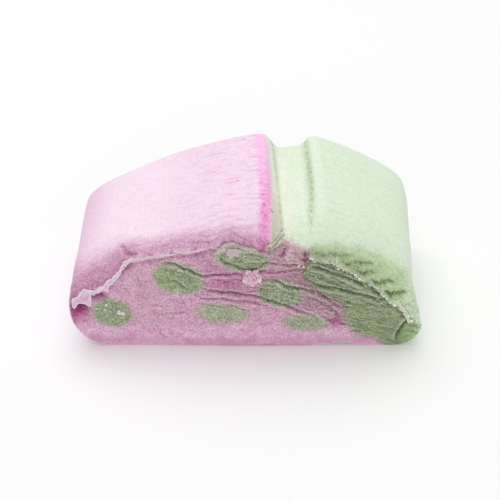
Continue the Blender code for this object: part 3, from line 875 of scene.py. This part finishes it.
def build_cut(rope, kind, ring, seam_column, fields, ovals):
    """Fill one cut, and return the vertex numbers of the seam and of the strands' outlines."""
    front = kind == FRONT
    step = CUT_STEP if front else BACK_STEP
    rim = rope.points[ring][:, [0, 2]]
    seam = np.vstack((rim[:1], SEAM[1:], rim[seam_column:seam_column + 1]))
    seam = resample(smooth_curve(seam, 8), 0.2)[1:-1]
    outlines = [oval_points(oval, 64) for oval in ovals]
    closed = [np.vstack((line, line[:1])) for line in outlines]
    whole_seam = np.vstack((rim[:1], seam, rim[seam_column:seam_column + 1]))
    inner = scattered_points(rim, [whole_seam] + closed, step, 3)
    flat = np.vstack([seam] + outlines + [inner])
    new = rope.add_points(*cut_points(flat, rim, whole_seam, kind, fields, ovals))
    everything = np.vstack((rim, flat))
    numbers = np.concatenate((ring, new))
    count = len(rim)
    edges = [(k, (k + 1) % count) for k in range(count)]
    chain = [0] + list(range(count, count + len(seam))) + [seam_column]
    edges += list(zip(chain, chain[1:]))
    first = count + len(seam)
    oval_numbers = []
    for line in outlines:
        own = np.arange(first, first + len(line))
        edges += list(zip(own.tolist(), np.roll(own, -1).tolist()))
        oval_numbers.append(numbers[own])
        first += len(line)
    triangles = triangulate(everything, edges)
    centre = everything[triangles].mean(axis=1)
    within = inside_polygon(centre[:, 0], centre[:, 1], rim)
    triangles, centre = triangles[within], centre[within]
    cap = np.vstack((rim[:seam_column + 1], seam[::-1]))
    owner = np.zeros(len(triangles), dtype=int)
    owner[inside_polygon(centre[:, 0], centre[:, 1], cap)] = 1
    for number, line in enumerate(outlines, start=2):
        owner[inside_polygon(centre[:, 0], centre[:, 1], line)] = number
    names = ["pink_body", "green_cap"] + ["green_strand_%d" % (k + 1) for k in range(len(ovals))]
    plan = np.zeros((len(rope.points), 2))
    plan[numbers] = everything
    faces = numbers[triangles]
    if not front:
        faces = faces[:, ::-1]
    for number, name in enumerate(names):
        rope.add_faces(name, kind, faces[owner == number], plan)
    return numbers[np.array(chain)], oval_numbers


def cut_points(flat, rim, seam, kind, fields, ovals):
    """Places, colours and graininess of the points inside a cut."""
    x, z = flat[:, 0], flat[:, 1]
    gap = line_distance(x, z, np.vstack((rim, rim[:1])))[0]
    seam_gap, seam_side, _ = line_distance(x, z, seam)
    green = seam_gap * -seam_side
    swell = cut_bulge(x, z)
    rounding = tuck(z) * (1.0 - smoothstep(0.0, 1.5, gap))
    fade = np.maximum(smoothstep(0.0, 0.7, gap), smoothstep(6.0, 8.0, z))
    if kind == FRONT:
        relief = sample_field(fields, "relief", x, z)
        sharp = 0.3 + 0.7 * smoothstep(4.0, 8.0, z)
        relief -= 0.16 * sharp * bump(green, 0.0, 0.22)
        # The seam's groove counts as a crease, so it takes painted shade.
        crease = sample_field(fields, "crease", x, z) + 0.5 * sharp * bump(green, 0.0, 0.2)
        y = FRONT_Y + rounding - (swell + relief) * fade
    else:
        relief = 0.07 * fractal_noise(x * 0.8, z * 0.8, 83, 3)
        # The back's crease amount comes from its bumps, for painted shade and highlight.
        crease = -3.0 * relief
        y = BACK_Y - rounding + (swell + relief) * fade
    tints, grains = cut_tint(x, z, green, crease, ovals, kind)
    return np.column_stack((x, y, z)), tints, grains


def build_seam_wall(rope, index, seam_column, front_seam, back_seam):
    """Close the body and the cap where they face each other inside the rope."""
    foot = rope.points[index[:, 0]]
    top = rope.points[index[:, seam_column]]
    front, back = rope.points[front_seam], rope.points[back_seam]
    run = np.linspace(0.0, 1.0, len(front_seam))
    back_run = np.linspace(0.0, 1.0, len(back_seam))
    depth = (foot[:, 1] - foot[0, 1]) / (foot[-1, 1] - foot[0, 1])

    def along(curve, place, share):
        return np.column_stack([np.interp(share, place, curve[:, k]) for k in range(3)])

    s, t = np.meshgrid(np.linspace(0.0, 1.0, 14)[1:-1], np.linspace(0.0, 1.0, 18)[1:-1])
    s, t = s.ravel(), t.ravel()
    u, v = s[:, None], t[:, None]
    inner = (1.0 - v) * along(front, run, s) + v * along(back, back_run, s)
    inner += (1.0 - u) * along(foot, depth, t) + u * along(top, depth, t)
    inner -= (1.0 - u) * ((1.0 - v) * front[0] + v * back[0])
    inner -= u * ((1.0 - v) * front[-1] + v * back[-1])
    edge_s = np.concatenate((run, np.ones(len(top) - 2), back_run[::-1], np.zeros(len(foot) - 2)))
    edge_t = np.concatenate((0.0 * run, depth[1:-1], 1.0 + 0.0 * back_run, depth[-2:0:-1]))
    edge = np.concatenate((front_seam, index[1:-1, seam_column], back_seam[::-1], index[-2:0:-1, 0]))
    plan = np.column_stack((np.concatenate((edge_s, s)), np.concatenate((edge_t, t))))
    count = len(edge)
    triangles = triangulate(plan * (20.0, LENGTH), [(k, (k + 1) % count) for k in range(count)])
    away = unit(np.cross(front[-1] - front[0], back[0] - front[0]))
    for piece, side, turned in (("green_cap", -1.0, False), ("pink_body", 1.0, True)):
        places = inner + side * WALL_GAP * away
        new = rope.add_points(places, np.zeros((len(inner), 3)) + linear(PINK_CUT), np.zeros(len(inner)))
        numbers = np.concatenate((edge, new))
        faces = numbers[triangles]
        spread = np.zeros((len(rope.points), 2))
        spread[numbers] = plan
        rope.add_faces(piece, WALL, faces[:, ::-1] if turned else faces, spread)


def build_strand_wall(rope, name, place, front_ring, back_ring):
    """Close one strand, and the bore it fills, along the rope."""
    front, back = rope.points[front_ring], rope.points[back_ring]
    for piece, side, turned in ((name, -1.0, False), ("pink_body", 1.0, True)):
        rings = [front_ring]
        for share in (0.06, 0.94):
            ring = front + (back - front) * share
            middle = ring.mean(axis=0)
            outward = unit((ring - middle) * (1.0, 0.0, 1.0))
            tint = np.zeros((len(ring), 3)) + linear(STRAND_CUT)
            rings.append(rope.add_points(ring + side * WALL_GAP * outward, tint, np.zeros(len(ring))))
        rings.append(back_ring)
        grid = np.array(rings)
        faces = grid_faces(np.column_stack((grid, grid[:, 0])))
        spread = np.zeros((len(rope.points), 2))
        spread[grid.ravel(), 0] = place + 0.9 * np.tile(np.linspace(0.0, 1.0, grid.shape[1]), 4)
        spread[grid.ravel(), 1] = np.repeat(np.linspace(0.0, 1.0, 4), grid.shape[1])
        rope.add_faces(piece, WALL, faces[:, ::-1] if turned else faces, spread)


def build_rope():
    """The whole rope as shared points and the faces of each of its pieces."""
    rope = Rope()
    fields = build_cut_fields()
    ovals = strand_ovals()
    index, seam_column = build_skin(rope, fields)
    front_seam, front_ovals = build_cut(rope, FRONT, index[0], seam_column, fields, ovals)
    back_seam, back_ovals = build_cut(rope, BACK, index[-1], seam_column, fields, ovals)
    build_seam_wall(rope, index, seam_column, front_seam, back_seam)
    for number, (front_ring, back_ring) in enumerate(zip(front_ovals, back_ovals), start=1):
        build_strand_wall(rope, "green_strand_%d" % number, number, front_ring, back_ring)
    return rope


# Materials

def foam_material(name, seed, grain_size=0.00022, contrast=1.7):
    """Sugar foam: the mesh's own colour, broken up by fine grain, blotches and starch."""
    material = bpy.data.materials.new(name)
    material.use_nodes = True
    nodes, links = material.node_tree.nodes, material.node_tree.links
    shader = nodes["Principled BSDF"]
    shader.inputs["Sheen Weight"].default_value = 0.06
    shader.inputs["Specular IOR Level"].default_value = 0.35

    def texture(kind, size, **values):
        made = nodes.new(kind)
        made.inputs["Scale"].default_value = 1.0 / size
        for key, value in values.items():
            made.inputs[key].default_value = value
        links.new(shifted.outputs[0], made.inputs["Vector"])
        return made

    def math_node(operation, *terms):
        made = nodes.new("ShaderNodeMath")
        made.operation = operation
        for socket, term in zip(made.inputs, terms):
            if isinstance(term, float):
                socket.default_value = term
            else:
                links.new(term, socket)
        return made.outputs[0]

    def attribute(field):
        made = nodes.new("ShaderNodeAttribute")
        made.attribute_name = field
        return made

    place = nodes.new("ShaderNodeTexCoord")
    shifted = nodes.new("ShaderNodeVectorMath")
    shifted.inputs[1].default_value = (seed, 2.0 * seed, 0.5 * seed)
    links.new(place.outputs["Object"], shifted.inputs[0])
    grain = texture("ShaderNodeTexNoise", grain_size, Detail=2.0, Roughness=0.7)
    blotches = texture("ShaderNodeTexNoise", 3.5 * grain_size, Detail=2.0)
    specks = texture("ShaderNodeTexVoronoi", 1.5 * grain_size)
    tint, strength = attribute("tint"), attribute("grain").outputs["Fac"]

    fine = math_node("MULTIPLY_ADD", grain.outputs["Fac"], contrast, -0.5 * contrast)
    coarse = math_node("MULTIPLY_ADD", blotches.outputs["Fac"], 0.3 * contrast, -0.15 * contrast)
    spread = math_node("ADD", fine, coarse)
    level = math_node("MULTIPLY_ADD", spread, strength, 1.0)
    shaded = nodes.new("ShaderNodeVectorMath")
    shaded.operation = "SCALE"
    links.new(tint.outputs["Color"], shaded.inputs[0])
    links.new(level, shaded.inputs["Scale"])

    near = nodes.new("ShaderNodeMapRange")
    near.inputs["From Min"].default_value = 0.26
    near.inputs["From Max"].default_value = 0.12
    links.new(specks.outputs["Distance"], near.inputs["Value"])
    dusted = math_node("MULTIPLY", near.outputs["Result"], blotches.outputs["Fac"])
    starch = math_node("MULTIPLY", dusted, strength)
    white = nodes.new("ShaderNodeMix")
    white.data_type = "RGBA"
    white.inputs["B"].default_value = (0.87, 0.84, 0.85, 1.0)
    links.new(starch, white.inputs["Factor"])
    links.new(shaded.outputs[0], white.inputs["A"])
    links.new(white.outputs["Result"], shader.inputs["Base Color"])

    dull = math_node("MULTIPLY_ADD", grain.outputs["Fac"], 0.3, 0.68)
    links.new(dull, shader.inputs["Roughness"])
    pits = nodes.new("ShaderNodeBump")
    pits.inputs["Strength"].default_value = 0.7
    pits.inputs["Distance"].default_value = 0.00007
    links.new(grain.outputs["Fac"], pits.inputs["Height"])
    links.new(pits.outputs["Normal"], shader.inputs["Normal"])
    return material


# Pieces

CELLS = {                 # where each kind of face lies on a piece's own map
    SKIN: (0.0, 0.0, 1.0, 0.48),
    FRONT: (0.0, 0.50, 1.0, 0.86),
    BACK: (0.0, 0.88, 0.50, 1.0),
    WALL: (0.52, 0.88, 1.0, 1.0),
}


def fitted(plan, cell):
    """A flat map stretched to fill its cell."""
    low = plan.reshape(-1, 2).min(axis=0)
    high = plan.reshape(-1, 2).max(axis=0)
    corner, size = np.array(cell[:2]), np.array(cell[2:]) - np.array(cell[:2])
    return corner + (plan - low) / (high - low) * size


def add_mesh(name, points, faces, normals, plans, material):
    """An object of the scene from points in millimetres and triangles."""
    mesh = bpy.data.meshes.new(name)
    mesh.from_pydata((points * MM).tolist(), [], faces.tolist())
    mesh.shade_smooth()
    mesh.uv_layers.new(name="OFBake").data.foreach_set("uv", plans.ravel())
    mesh.normals_split_custom_set(normals.reshape(-1, 3).tolist())
    mesh.materials.append(material)
    piece = bpy.data.objects.new(name, mesh)
    bpy.context.scene.collection.objects.link(piece)
    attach(piece, "root")
    return piece


def add_fields(mesh, tints, grains):
    """Store the colour and graininess of every point for the material to read."""
    tint = mesh.attributes.new("tint", "FLOAT_COLOR", "POINT")
    tint.data.foreach_set("color", np.column_stack((tints, np.ones(len(tints)))).ravel())
    grain = mesh.attributes.new("grain", "FLOAT", "POINT")
    grain.data.foreach_set("value", grains)


def add_rope_pieces(rope, materials):
    """Make one closed piece for each node of the frame."""
    groups = {}
    for piece, kind, faces, plan in rope.faces:
        groups.setdefault(kind, []).append(faces)
    normals = {kind: smooth_normals(rope.points, np.vstack(faces)) for kind, faces in groups.items()}
    for node in sorted(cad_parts):
        own = [part for part in rope.faces if part[0] == node]
        faces = np.vstack([part[2] for part in own])
        plans = []
        corners = [normals[part[1]][part[2]] for part in own]
        for kind in CELLS:
            same = [k for k, part in enumerate(own) if part[1] == kind]
            if same:
                laid = fitted(np.vstack([own[k][3] for k in same]), CELLS[kind])
                ends = np.cumsum([len(own[k][3]) for k in same])[:-1]
                plans += list(zip(same, np.split(laid, ends)))
        plans = [plan for _, plan in sorted(plans, key=lambda item: item[0])]
        used, compact = np.unique(faces, return_inverse=True)
        faces = compact.reshape(-1, 3)
        material = materials[node]
        piece = add_mesh("foam_" + node, rope.points[used], faces, np.vstack(corners),
                         np.vstack(plans), material)
        add_fields(piece.data, rope.tints[used], rope.grains[used])
        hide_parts(node)


# Torn skin along the rim

SHEET_THICKNESS = 0.09

# Outlines of torn skin on the front cut, as (x, z), with how far each lifts and its colours
FLAPS = (
    (((-20.4, 8.2), (-19.5, 9.3), (-18.7, 9.1), (-18.6, 8.3), (-18.7, 7.3), (-19.0, 6.8), (-19.4, 7.3),
      (-20.0, 7.4), (-20.3, 7.4), (-20.8, 6.6), (-21.1, 6.8), (-21.1, 7.8), (-20.8, 8.0)),
     0.42, TORN_SKIN),
    (((-2.1, 14.5), (-1.9, 15.1), (-1.8, 15.4), (-1.3, 15.3), (-0.9, 15.4), (-0.3, 15.2), (-0.1, 14.8),
      (-0.5, 14.7), (-0.55, 14.3), (-0.95, 14.4), (-1.4, 13.9), (-1.75, 13.8), (-1.75, 14.4)),
     0.0, TORN_GREY),
)

# Strips of torn skin that run along the rim: points as (x, z), widths, lift and colours
STRIPS = (
    (((-18.9, 8.9), (-18.0, 9.1), (-17.2, 9.6)), (0.65, 0.5, 0.35), 0.30, TORN_SKIN),
    (((-17.0, 9.3), (-16.3, 10.3), (-15.4, 11.2), (-14.9, 12.0), (-14.2, 13.0), (-13.3, 13.8)),
     (0.8, 0.64, 0.5, 0.42, 0.48, 0.35), 0.26, TORN_SKIN),
    (((-13.5, 13.7), (-12.6, 13.8), (-11.6, 14.0), (-10.7, 14.2)), (0.40, 0.30, 0.36, 0.10), 0.12, TORN_DULL),
    (((-10.8, 14.1), (-9.8, 14.3), (-8.8, 14.5), (-8.0, 14.6)), (0.10, 0.34, 0.22, 0.08), 0.12, TORN_DULL),
    (((-7.4, 14.7), (-6.4, 14.9), (-5.4, 15.15), (-4.4, 15.4)), (0.05, 0.28, 0.30, 0.06), 0.12, TORN_DULL),
    (((18.2, 7.5), (19.1, 6.9), (19.8, 6.0), (20.3, 5.2), (20.8, 4.1)), (0.25, 0.5, 0.4, 0.5, 0.35), 0.10,
     TORN_GREEN),
)


def strip_outline(points, widths, seed):
    """The outline of a ragged strip round its middle line."""
    line = resample(smooth_curve(points, 10), 0.16)
    place = np.linspace(0.0, 1.0, len(line))
    width = np.interp(place, np.linspace(0.0, 1.0, len(widths)), widths)
    along = unit(np.gradient(line, axis=0))
    across = np.column_stack((-along[:, 1], along[:, 0]))
    reach = np.arange(len(line)) * 0.16
    upper = 0.5 * width * (1.0 + 0.55 * fractal_noise(reach * 1.4, 0.0 * reach + 0.5, seed, 2))
    lower = 0.5 * width * (1.0 + 0.80 * fractal_noise(reach * 2.1, 0.0 * reach + 0.5, seed + 1, 2))
    return np.vstack((line + across * upper[:, None], (line - across * lower[:, None])[::-1]))


def add_sheet(parts, outline, lift, colours, seed):
    """Add a thin curled sheet over the rim to the parts of one mesh."""
    closed = np.vstack((outline, outline[:1]))
    edge = resample(closed, 0.12)[:-1]
    inner = scattered_points(edge, [], 0.14, seed)
    flat = np.vstack((edge, inner))
    count = len(edge)
    triangles = triangulate(flat, [(k, (k + 1) % count) for k in range(count)])
    a, b, c = (flat[triangles[:, k]] for k in range(3))
    centre = (a + b + c) / 3.0
    wide = np.cross(b - a, c - a) > 1e-6
    triangles = triangles[wide & inside_polygon(centre[:, 0], centre[:, 1], edge)]
    x, z = flat[:, 0], flat[:, 1]
    above = np.maximum(z - rim_height(x), 0.0)
    ripple = 0.10 * fractal_noise(x * 1.3, z * 1.3, seed + 7, 2)
    hanging = smoothstep(0.9, -0.9, z - rim_height(x))
    y = FRONT_Y - 0.32 - lift * hanging + 0.22 * above - ripple
    front = np.column_stack((x, y, z))
    back = front + (0.0, SHEET_THICKNESS, 0.0)
    around = np.arange(count)
    following = np.roll(around, -1)
    far = len(flat)
    rim_faces = np.vstack((np.column_stack((around, around + far, following + far)),
                           np.column_stack((around, following + far, following))))
    faces = np.vstack((triangles, triangles[:, ::-1] + far, rim_faces))
    gap = line_distance(x, z, np.vstack((edge, edge[:1])))[0]
    shade = smoothstep(0.02, 0.22, gap) * (0.75 + 0.5 * fractal_noise(x * 1.8, z * 1.8, seed + 9, 2))
    tint = mixed(linear(colours[0]) + 0.0 * front, colours[1], shade)
    parts.append((np.vstack((front, back)), faces, np.vstack((tint, tint))))


def add_torn_skin(material):
    """The pale scraps of dried skin that hang from the rim of the front cut."""
    parts = []
    for number, (outline, lift, colours) in enumerate(FLAPS):
        add_sheet(parts, np.array(outline), lift, colours, 200 + number)
    for number, (points, widths, lift, colours) in enumerate(STRIPS):
        outline = strip_outline(points, widths, 210 + 3 * number)
        add_sheet(parts, outline, lift, colours, 220 + number)
    add_loose_piece("torn_skin", parts, material, 0.35)


def add_loose_piece(name, parts, material, grain):
    """One piece from parts that each hold points, faces and colours."""
    starts = np.cumsum([0] + [len(part[0]) for part in parts])
    points = np.vstack([part[0] for part in parts])
    faces = np.vstack([part[1] + start for part, start in zip(parts, starts)])
    mesh = bpy.data.meshes.new(name)
    mesh.from_pydata((points * MM).tolist(), [], faces.tolist())
    mesh.shade_smooth()
    mesh.set_sharp_from_angle(angle=math.radians(50.0))
    mesh.materials.append(material)
    add_fields(mesh, np.vstack([part[2] for part in parts]), np.full(len(points), grain))
    piece = bpy.data.objects.new(name, mesh)
    bpy.context.scene.collection.objects.link(piece)
    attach(piece, "root")


# Crumbs and grains

def sphere_mesh(level):
    """A unit ball of triangles."""
    bm = bmesh.new()
    bmesh.ops.create_icosphere(bm, subdivisions=level, radius=1.0)
    points = np.array([vert.co for vert in bm.verts])
    faces = np.array([[vert.index for vert in face.verts] for face in bm.faces])
    bm.free()
    return points, faces


CRUMB = (1.0, 11.5)       # middle of the big crumb on the cut
CRUMB_BLOBS = (           # x, z and radius of the main lumps it is made of
    (-0.42, 0.56, 0.40), (0.38, 0.56, 0.42), (0.0, 0.05, 0.70), (-0.66, 0.05, 0.36), (0.74, 0.12, 0.36),
    (-0.42, -0.44, 0.44), (0.38, -0.46, 0.46), (0.0, -0.46, 0.42), (0.70, -0.30, 0.30), (-0.74, -0.28, 0.28),
)
RIM_CRUMBS = (            # x and size of the crumbs along the green rim
    (8.1, 0.20), (8.5, 0.16), (9.0, 0.10), (10.4, 0.09), (10.9, 0.12), (11.4, 0.15), (11.9, 0.13), (12.6, 0.11),
    (13.3, 0.15), (13.8, 0.18), (14.3, 0.17), (14.7, 0.12), (15.3, 0.10), (15.9, 0.12), (17.0, 0.14), (17.5, 0.12),
    (18.2, 0.22), (18.6, 0.14), (20.9, 0.20),
)
STRAY_CRUMBS = (          # x, z and size of those on the strands and the lump
    (-15.3, 5.8, 0.36), (-15.0, 5.5, 0.26), (-16.9, 6.8, 0.24), (-18.2, 6.2, 0.17), (-17.2, 6.0, 0.15),
    (6.7, 12.9, 0.20), (7.2, 12.8, 0.16),
)


def crumb_mesh(blobs, flatness, level, seed):
    """A lumpy crumb: the outer skin of a cluster of balls, roughened, with its colours."""
    random = np.random.default_rng(seed)
    directions, faces = sphere_mesh(level)
    reach = np.full(len(directions), 0.05)
    smaller = [(x + random.uniform(-0.24, 0.24), z + random.uniform(-0.24, 0.24), radius * 0.55,
                random.uniform(-0.5, 0.2)) for x, z, radius in blobs for _ in range(6)]
    balls = [(x, 0.0, z, radius) for x, z, radius in blobs]
    balls += [(x, y, z, radius) for x, z, radius, y in smaller]
    for x, y, z, radius in balls:
        middle = np.array((x, y, z))
        along = directions @ middle
        inside = radius ** 2 - middle @ middle + along ** 2
        hit = along + np.sqrt(np.maximum(inside, 0.0))
        reach = np.where(inside > 0.0, np.maximum(reach, hit), reach)
    x, z = directions[:, 0] * reach, directions[:, 2] * reach
    rough = fractal_noise(x * 6.0 + directions[:, 1] * 2.0, z * 6.0, seed, 3)
    points = directions * (reach * (1.0 + 0.12 * rough))[:, None] * (1.0, flatness, 1.0)
    outer = smoothstep(0.6, 1.05, np.hypot(x, z)) * (0.6 - 0.3 * np.sign(z)) + 0.7 * rough
    return points, faces, mixed(linear(CRUMB_PINK) + 0.0 * points, SUGAR_AND_HIGHLIGHT, outer)


def knobs(random):
    """Small knobs that cover the big crumb, whiter towards its edge."""
    shape, faces = sphere_mesh(2)
    parts = []
    for x, z, radius in CRUMB_BLOBS * 5 + CRUMB_BLOBS[2:3] * 26:
        turn, reach = random.uniform(0.0, 2.0 * math.pi), radius * math.sqrt(random.uniform(0.0, 0.9))
        px, pz = x + reach * math.cos(turn), z + reach * math.sin(turn)
        if abs(px + 0.04) < 0.22 and pz > 0.35:
            continue
        out = math.hypot(px, pz)
        proud = 0.62 * math.sqrt(max(0.0, 1.0 - (out / 1.25) ** 2))
        place = (CRUMB[0] + px, FRONT_Y - 0.75 - proud, CRUMB[1] + pz)
        size = random.uniform(0.13, 0.27) * random.uniform(0.7, 1.3, 3)
        points = shape * size * random.uniform(0.85, 1.15, (len(shape), 1)) + place
        white = smoothstep(0.5, 1.1, out) * (0.6 - 0.3 * np.sign(pz)) + random.uniform(-0.2, 0.25)
        tints = mixed(linear(CRUMB_PINK) + 0.0 * points, SUGAR_AND_HIGHLIGHT, np.full(len(points), white))
        parts.append((points, faces, tints))
    return parts


def add_crumbs(material):
    """Crumbs of dried foam: a big one on the cut, and small ones on the rim and the strands."""
    random = np.random.default_rng(9)

    def small_crumb(flatness, size, whiteness, place):
        blobs = [(*random.uniform(-0.6, 0.6, 2), random.uniform(0.35, 0.7)) for _ in range(5)]
        points, faces, tints = crumb_mesh(blobs, flatness, 3, int(random.integers(500, 900)))
        stretch = random.uniform(0.8, 1.25, 3)
        whiter = np.full(len(tints), whiteness + random.uniform(-0.15, 0.15))
        return points * size * stretch + place, faces, mixed(tints, SUGAR, whiter)

    points, faces, tints = crumb_mesh(CRUMB_BLOBS, 0.6, 5, 401)
    parts = [(points + (CRUMB[0], FRONT_Y - 0.72, CRUMB[1]), faces, tints)] + knobs(random)
    for middle, size in RIM_CRUMBS:
        for share in (1.0, 0.7, 0.6, 0.5):
            x = middle + random.normal(0.0, 0.22)
            z = float(rim_height(np.array(x))) + random.normal(0.0, 0.12)
            parts.append(small_crumb(0.7, size * share, 0.9, (x, FRONT_Y - 0.34, z)))
    for x, z, size in STRAY_CRUMBS:
        parts.append(small_crumb(0.8, size, 0.6, (x, FRONT_Y - float(cut_bulge(x, z)) - 0.05, z)))
    add_loose_piece("sugar_crumbs", parts, material, 0.3)


GRAIN_COUNT = 6500
GRAIN_CLUSTERS = (        # x, z, half sizes and how thickly the grains lie there
    (10.9, 2.5, 1.4, 0.6, 5.0), (3.0, 4.8, 1.3, 1.0, 2.5), (8.0, 7.2, 1.6, 0.7, 3.0), (4.5, 9.0, 2.0, 1.5, 2.0),
    (-12.0, 7.5, 1.5, 0.9, 3.0), (-12.5, 4.0, 2.0, 0.9, 2.0), (-16.3, 5.6, 2.0, 2.0, 2.5), (-6.0, 3.2, 3.0, 0.8, 2.0),
    (1.0, 14.2, 1.6, 0.8, 2.0), (8.6, 5.2, 2.0, 1.0, 2.0),
)


def front_faces(rope):
    """Every face of the skin and of the front cut, with the kind of each."""
    shown = [part for part in rope.faces if part[1] in (SKIN, FRONT)]
    return (np.vstack([part[2] for part in shown]),
            np.concatenate([np.full(len(part[2]), part[1]) for part in shown]))


def add_grains(rope, material):
    """Starch and sugar grains that cling to the cut and to the rolled-over skin."""
    random = np.random.default_rng(7)
    faces, kinds = front_faces(rope)
    corners = rope.points[faces]
    across = np.cross(corners[:, 1] - corners[:, 0], corners[:, 2] - corners[:, 0])
    middles = corners.mean(axis=1)
    x, y, z = middles.T
    cluster = smoothstep(-0.2, 0.9, fractal_noise(x * 0.5, z * 0.6, 301))
    for middle_x, middle_z, reach_x, reach_z, share in GRAIN_CLUSTERS:
        cluster += share * bump(x, middle_x, reach_x) * bump(z, middle_z, reach_z)
    cut = (kinds == FRONT) * (0.15 + cluster)
    rolled = (kinds == SKIN) * smoothstep(FRONT_Y + 3.4, FRONT_Y + 1.0, y) * smoothstep(4.0, 9.0, z)
    along_rim = (kinds == FRONT) * band(x, 8.4, 20.5, 0.4) * bump(z, rim_height(x) - 0.2, 0.25)
    weight = np.linalg.norm(across, axis=1) * (cut + 0.6 * rolled + 9.0 * along_rim)
    weight *= smoothstep(0.1, 0.4, z)
    chosen = random.choice(len(weight), size=GRAIN_COUNT, p=weight / weight.sum())
    shape, sides = sphere_mesh(1)
    sizes = 0.030 + 0.060 * random.random(GRAIN_COUNT) ** 3
    points = shape[None, :, :] * sizes[:, None, None] * random.uniform(0.5, 1.3, (GRAIN_COUNT, 1, 3))
    points *= random.uniform(0.8, 1.2, (GRAIN_COUNT, len(shape), 1))
    places = middles[chosen] + unit(across)[chosen] * (0.3 * sizes[:, None])
    points = (points + places[:, None, :]).reshape(-1, 3)
    numbers = sides[None, :, :] + (np.arange(GRAIN_COUNT) * len(shape))[:, None, None]
    tints = mixed(rope.tints[faces[chosen, 0]], SUGAR_AND_HIGHLIGHT, random.uniform(0.25, 0.95, GRAIN_COUNT))
    parts = [(points, numbers.reshape(-1, 3), np.repeat(tints, len(shape), axis=0))]
    add_loose_piece("starch_grains", parts, material, 0.1)


# Camera, light and floor

def add_stage():
    """A plain pale floor under soft light from above and behind."""
    material = bpy.data.materials.new("floor")
    material.use_nodes = True
    shader = material.node_tree.nodes["Principled BSDF"]
    shader.inputs["Base Color"].default_value = (0.97, 0.97, 0.97, 1.0)
    shader.inputs["Roughness"].default_value = 0.9
    mesh = bpy.data.meshes.new("floor")
    corners = [(-1.5, -1.5, 0.0), (1.5, -1.5, 0.0), (1.5, 1.5, 0.0), (-1.5, 1.5, 0.0)]
    mesh.from_pydata(corners, [], [(0, 1, 2, 3)])
    mesh.materials.append(material)
    floor = bpy.data.objects.new("floor", mesh)
    bpy.context.scene.collection.objects.link(floor)


def add_light(name, place, size, power):
    """A square soft light that points at the piece."""
    data = bpy.data.lights.new(name, "AREA")
    data.size = size
    data.energy = power
    lamp = bpy.data.objects.new(name, data)
    lamp.location = place
    lamp.rotation_euler = (-Vector(place)).to_track_quat("-Z", "Y").to_euler()
    bpy.context.scene.collection.objects.link(lamp)


def add_lights():
    """Soft studio light: a broad key from above and behind, and a pale room."""
    world = bpy.data.worlds.new("studio")
    world.use_nodes = True
    background = world.node_tree.nodes["Background"]
    background.inputs["Color"].default_value = (1.0, 1.0, 1.0, 1.0)
    background.inputs["Strength"].default_value = 0.54
    bpy.context.scene.world = world
    add_light("key", (-0.08, 0.14, 0.55), 0.6, 2.0)
    add_light("fill", (0.04, -0.50, 0.20), 0.5, 0.48)


def add_camera():
    """The photograph's camera: 36 degrees above the floor, square to the front cut."""
    data = bpy.data.cameras.new("camera")
    data.lens = 68.3
    data.sensor_width = 36.0
    data.clip_start = 0.005
    camera = bpy.data.objects.new("camera", data)
    camera.location = (0.00078, -0.10212, 0.08110)
    aim = Vector((0.00078, 0.0, 0.00704)) - camera.location
    camera.rotation_euler = aim.to_track_quat("-Z", "Y").to_euler()
    bpy.context.scene.collection.objects.link(camera)
    bpy.context.scene.camera = camera


def main():
    """Build everything round the frame."""
    bpy.context.scene.view_settings.view_transform = "Standard"
    add_camera()
    add_lights()
    add_stage()
    strand = foam_material("strand_foam", 3.0, contrast=2.3)
    materials = {node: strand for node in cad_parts}
    materials["pink_body"] = foam_material("pink_foam", 1.0, contrast=2.2)
    materials["green_cap"] = foam_material("green_foam", 2.0, contrast=1.9)
    rope = build_rope()
    add_rope_pieces(rope, materials)
    add_torn_skin(foam_material("dried_skin", 4.0, 0.00016, 1.0))
    add_crumbs(foam_material("dried_crumbs", 5.0, 0.00016, 1.0))
    add_grains(rope, foam_material("starch", 6.0, 0.00016, 1.0))


main()
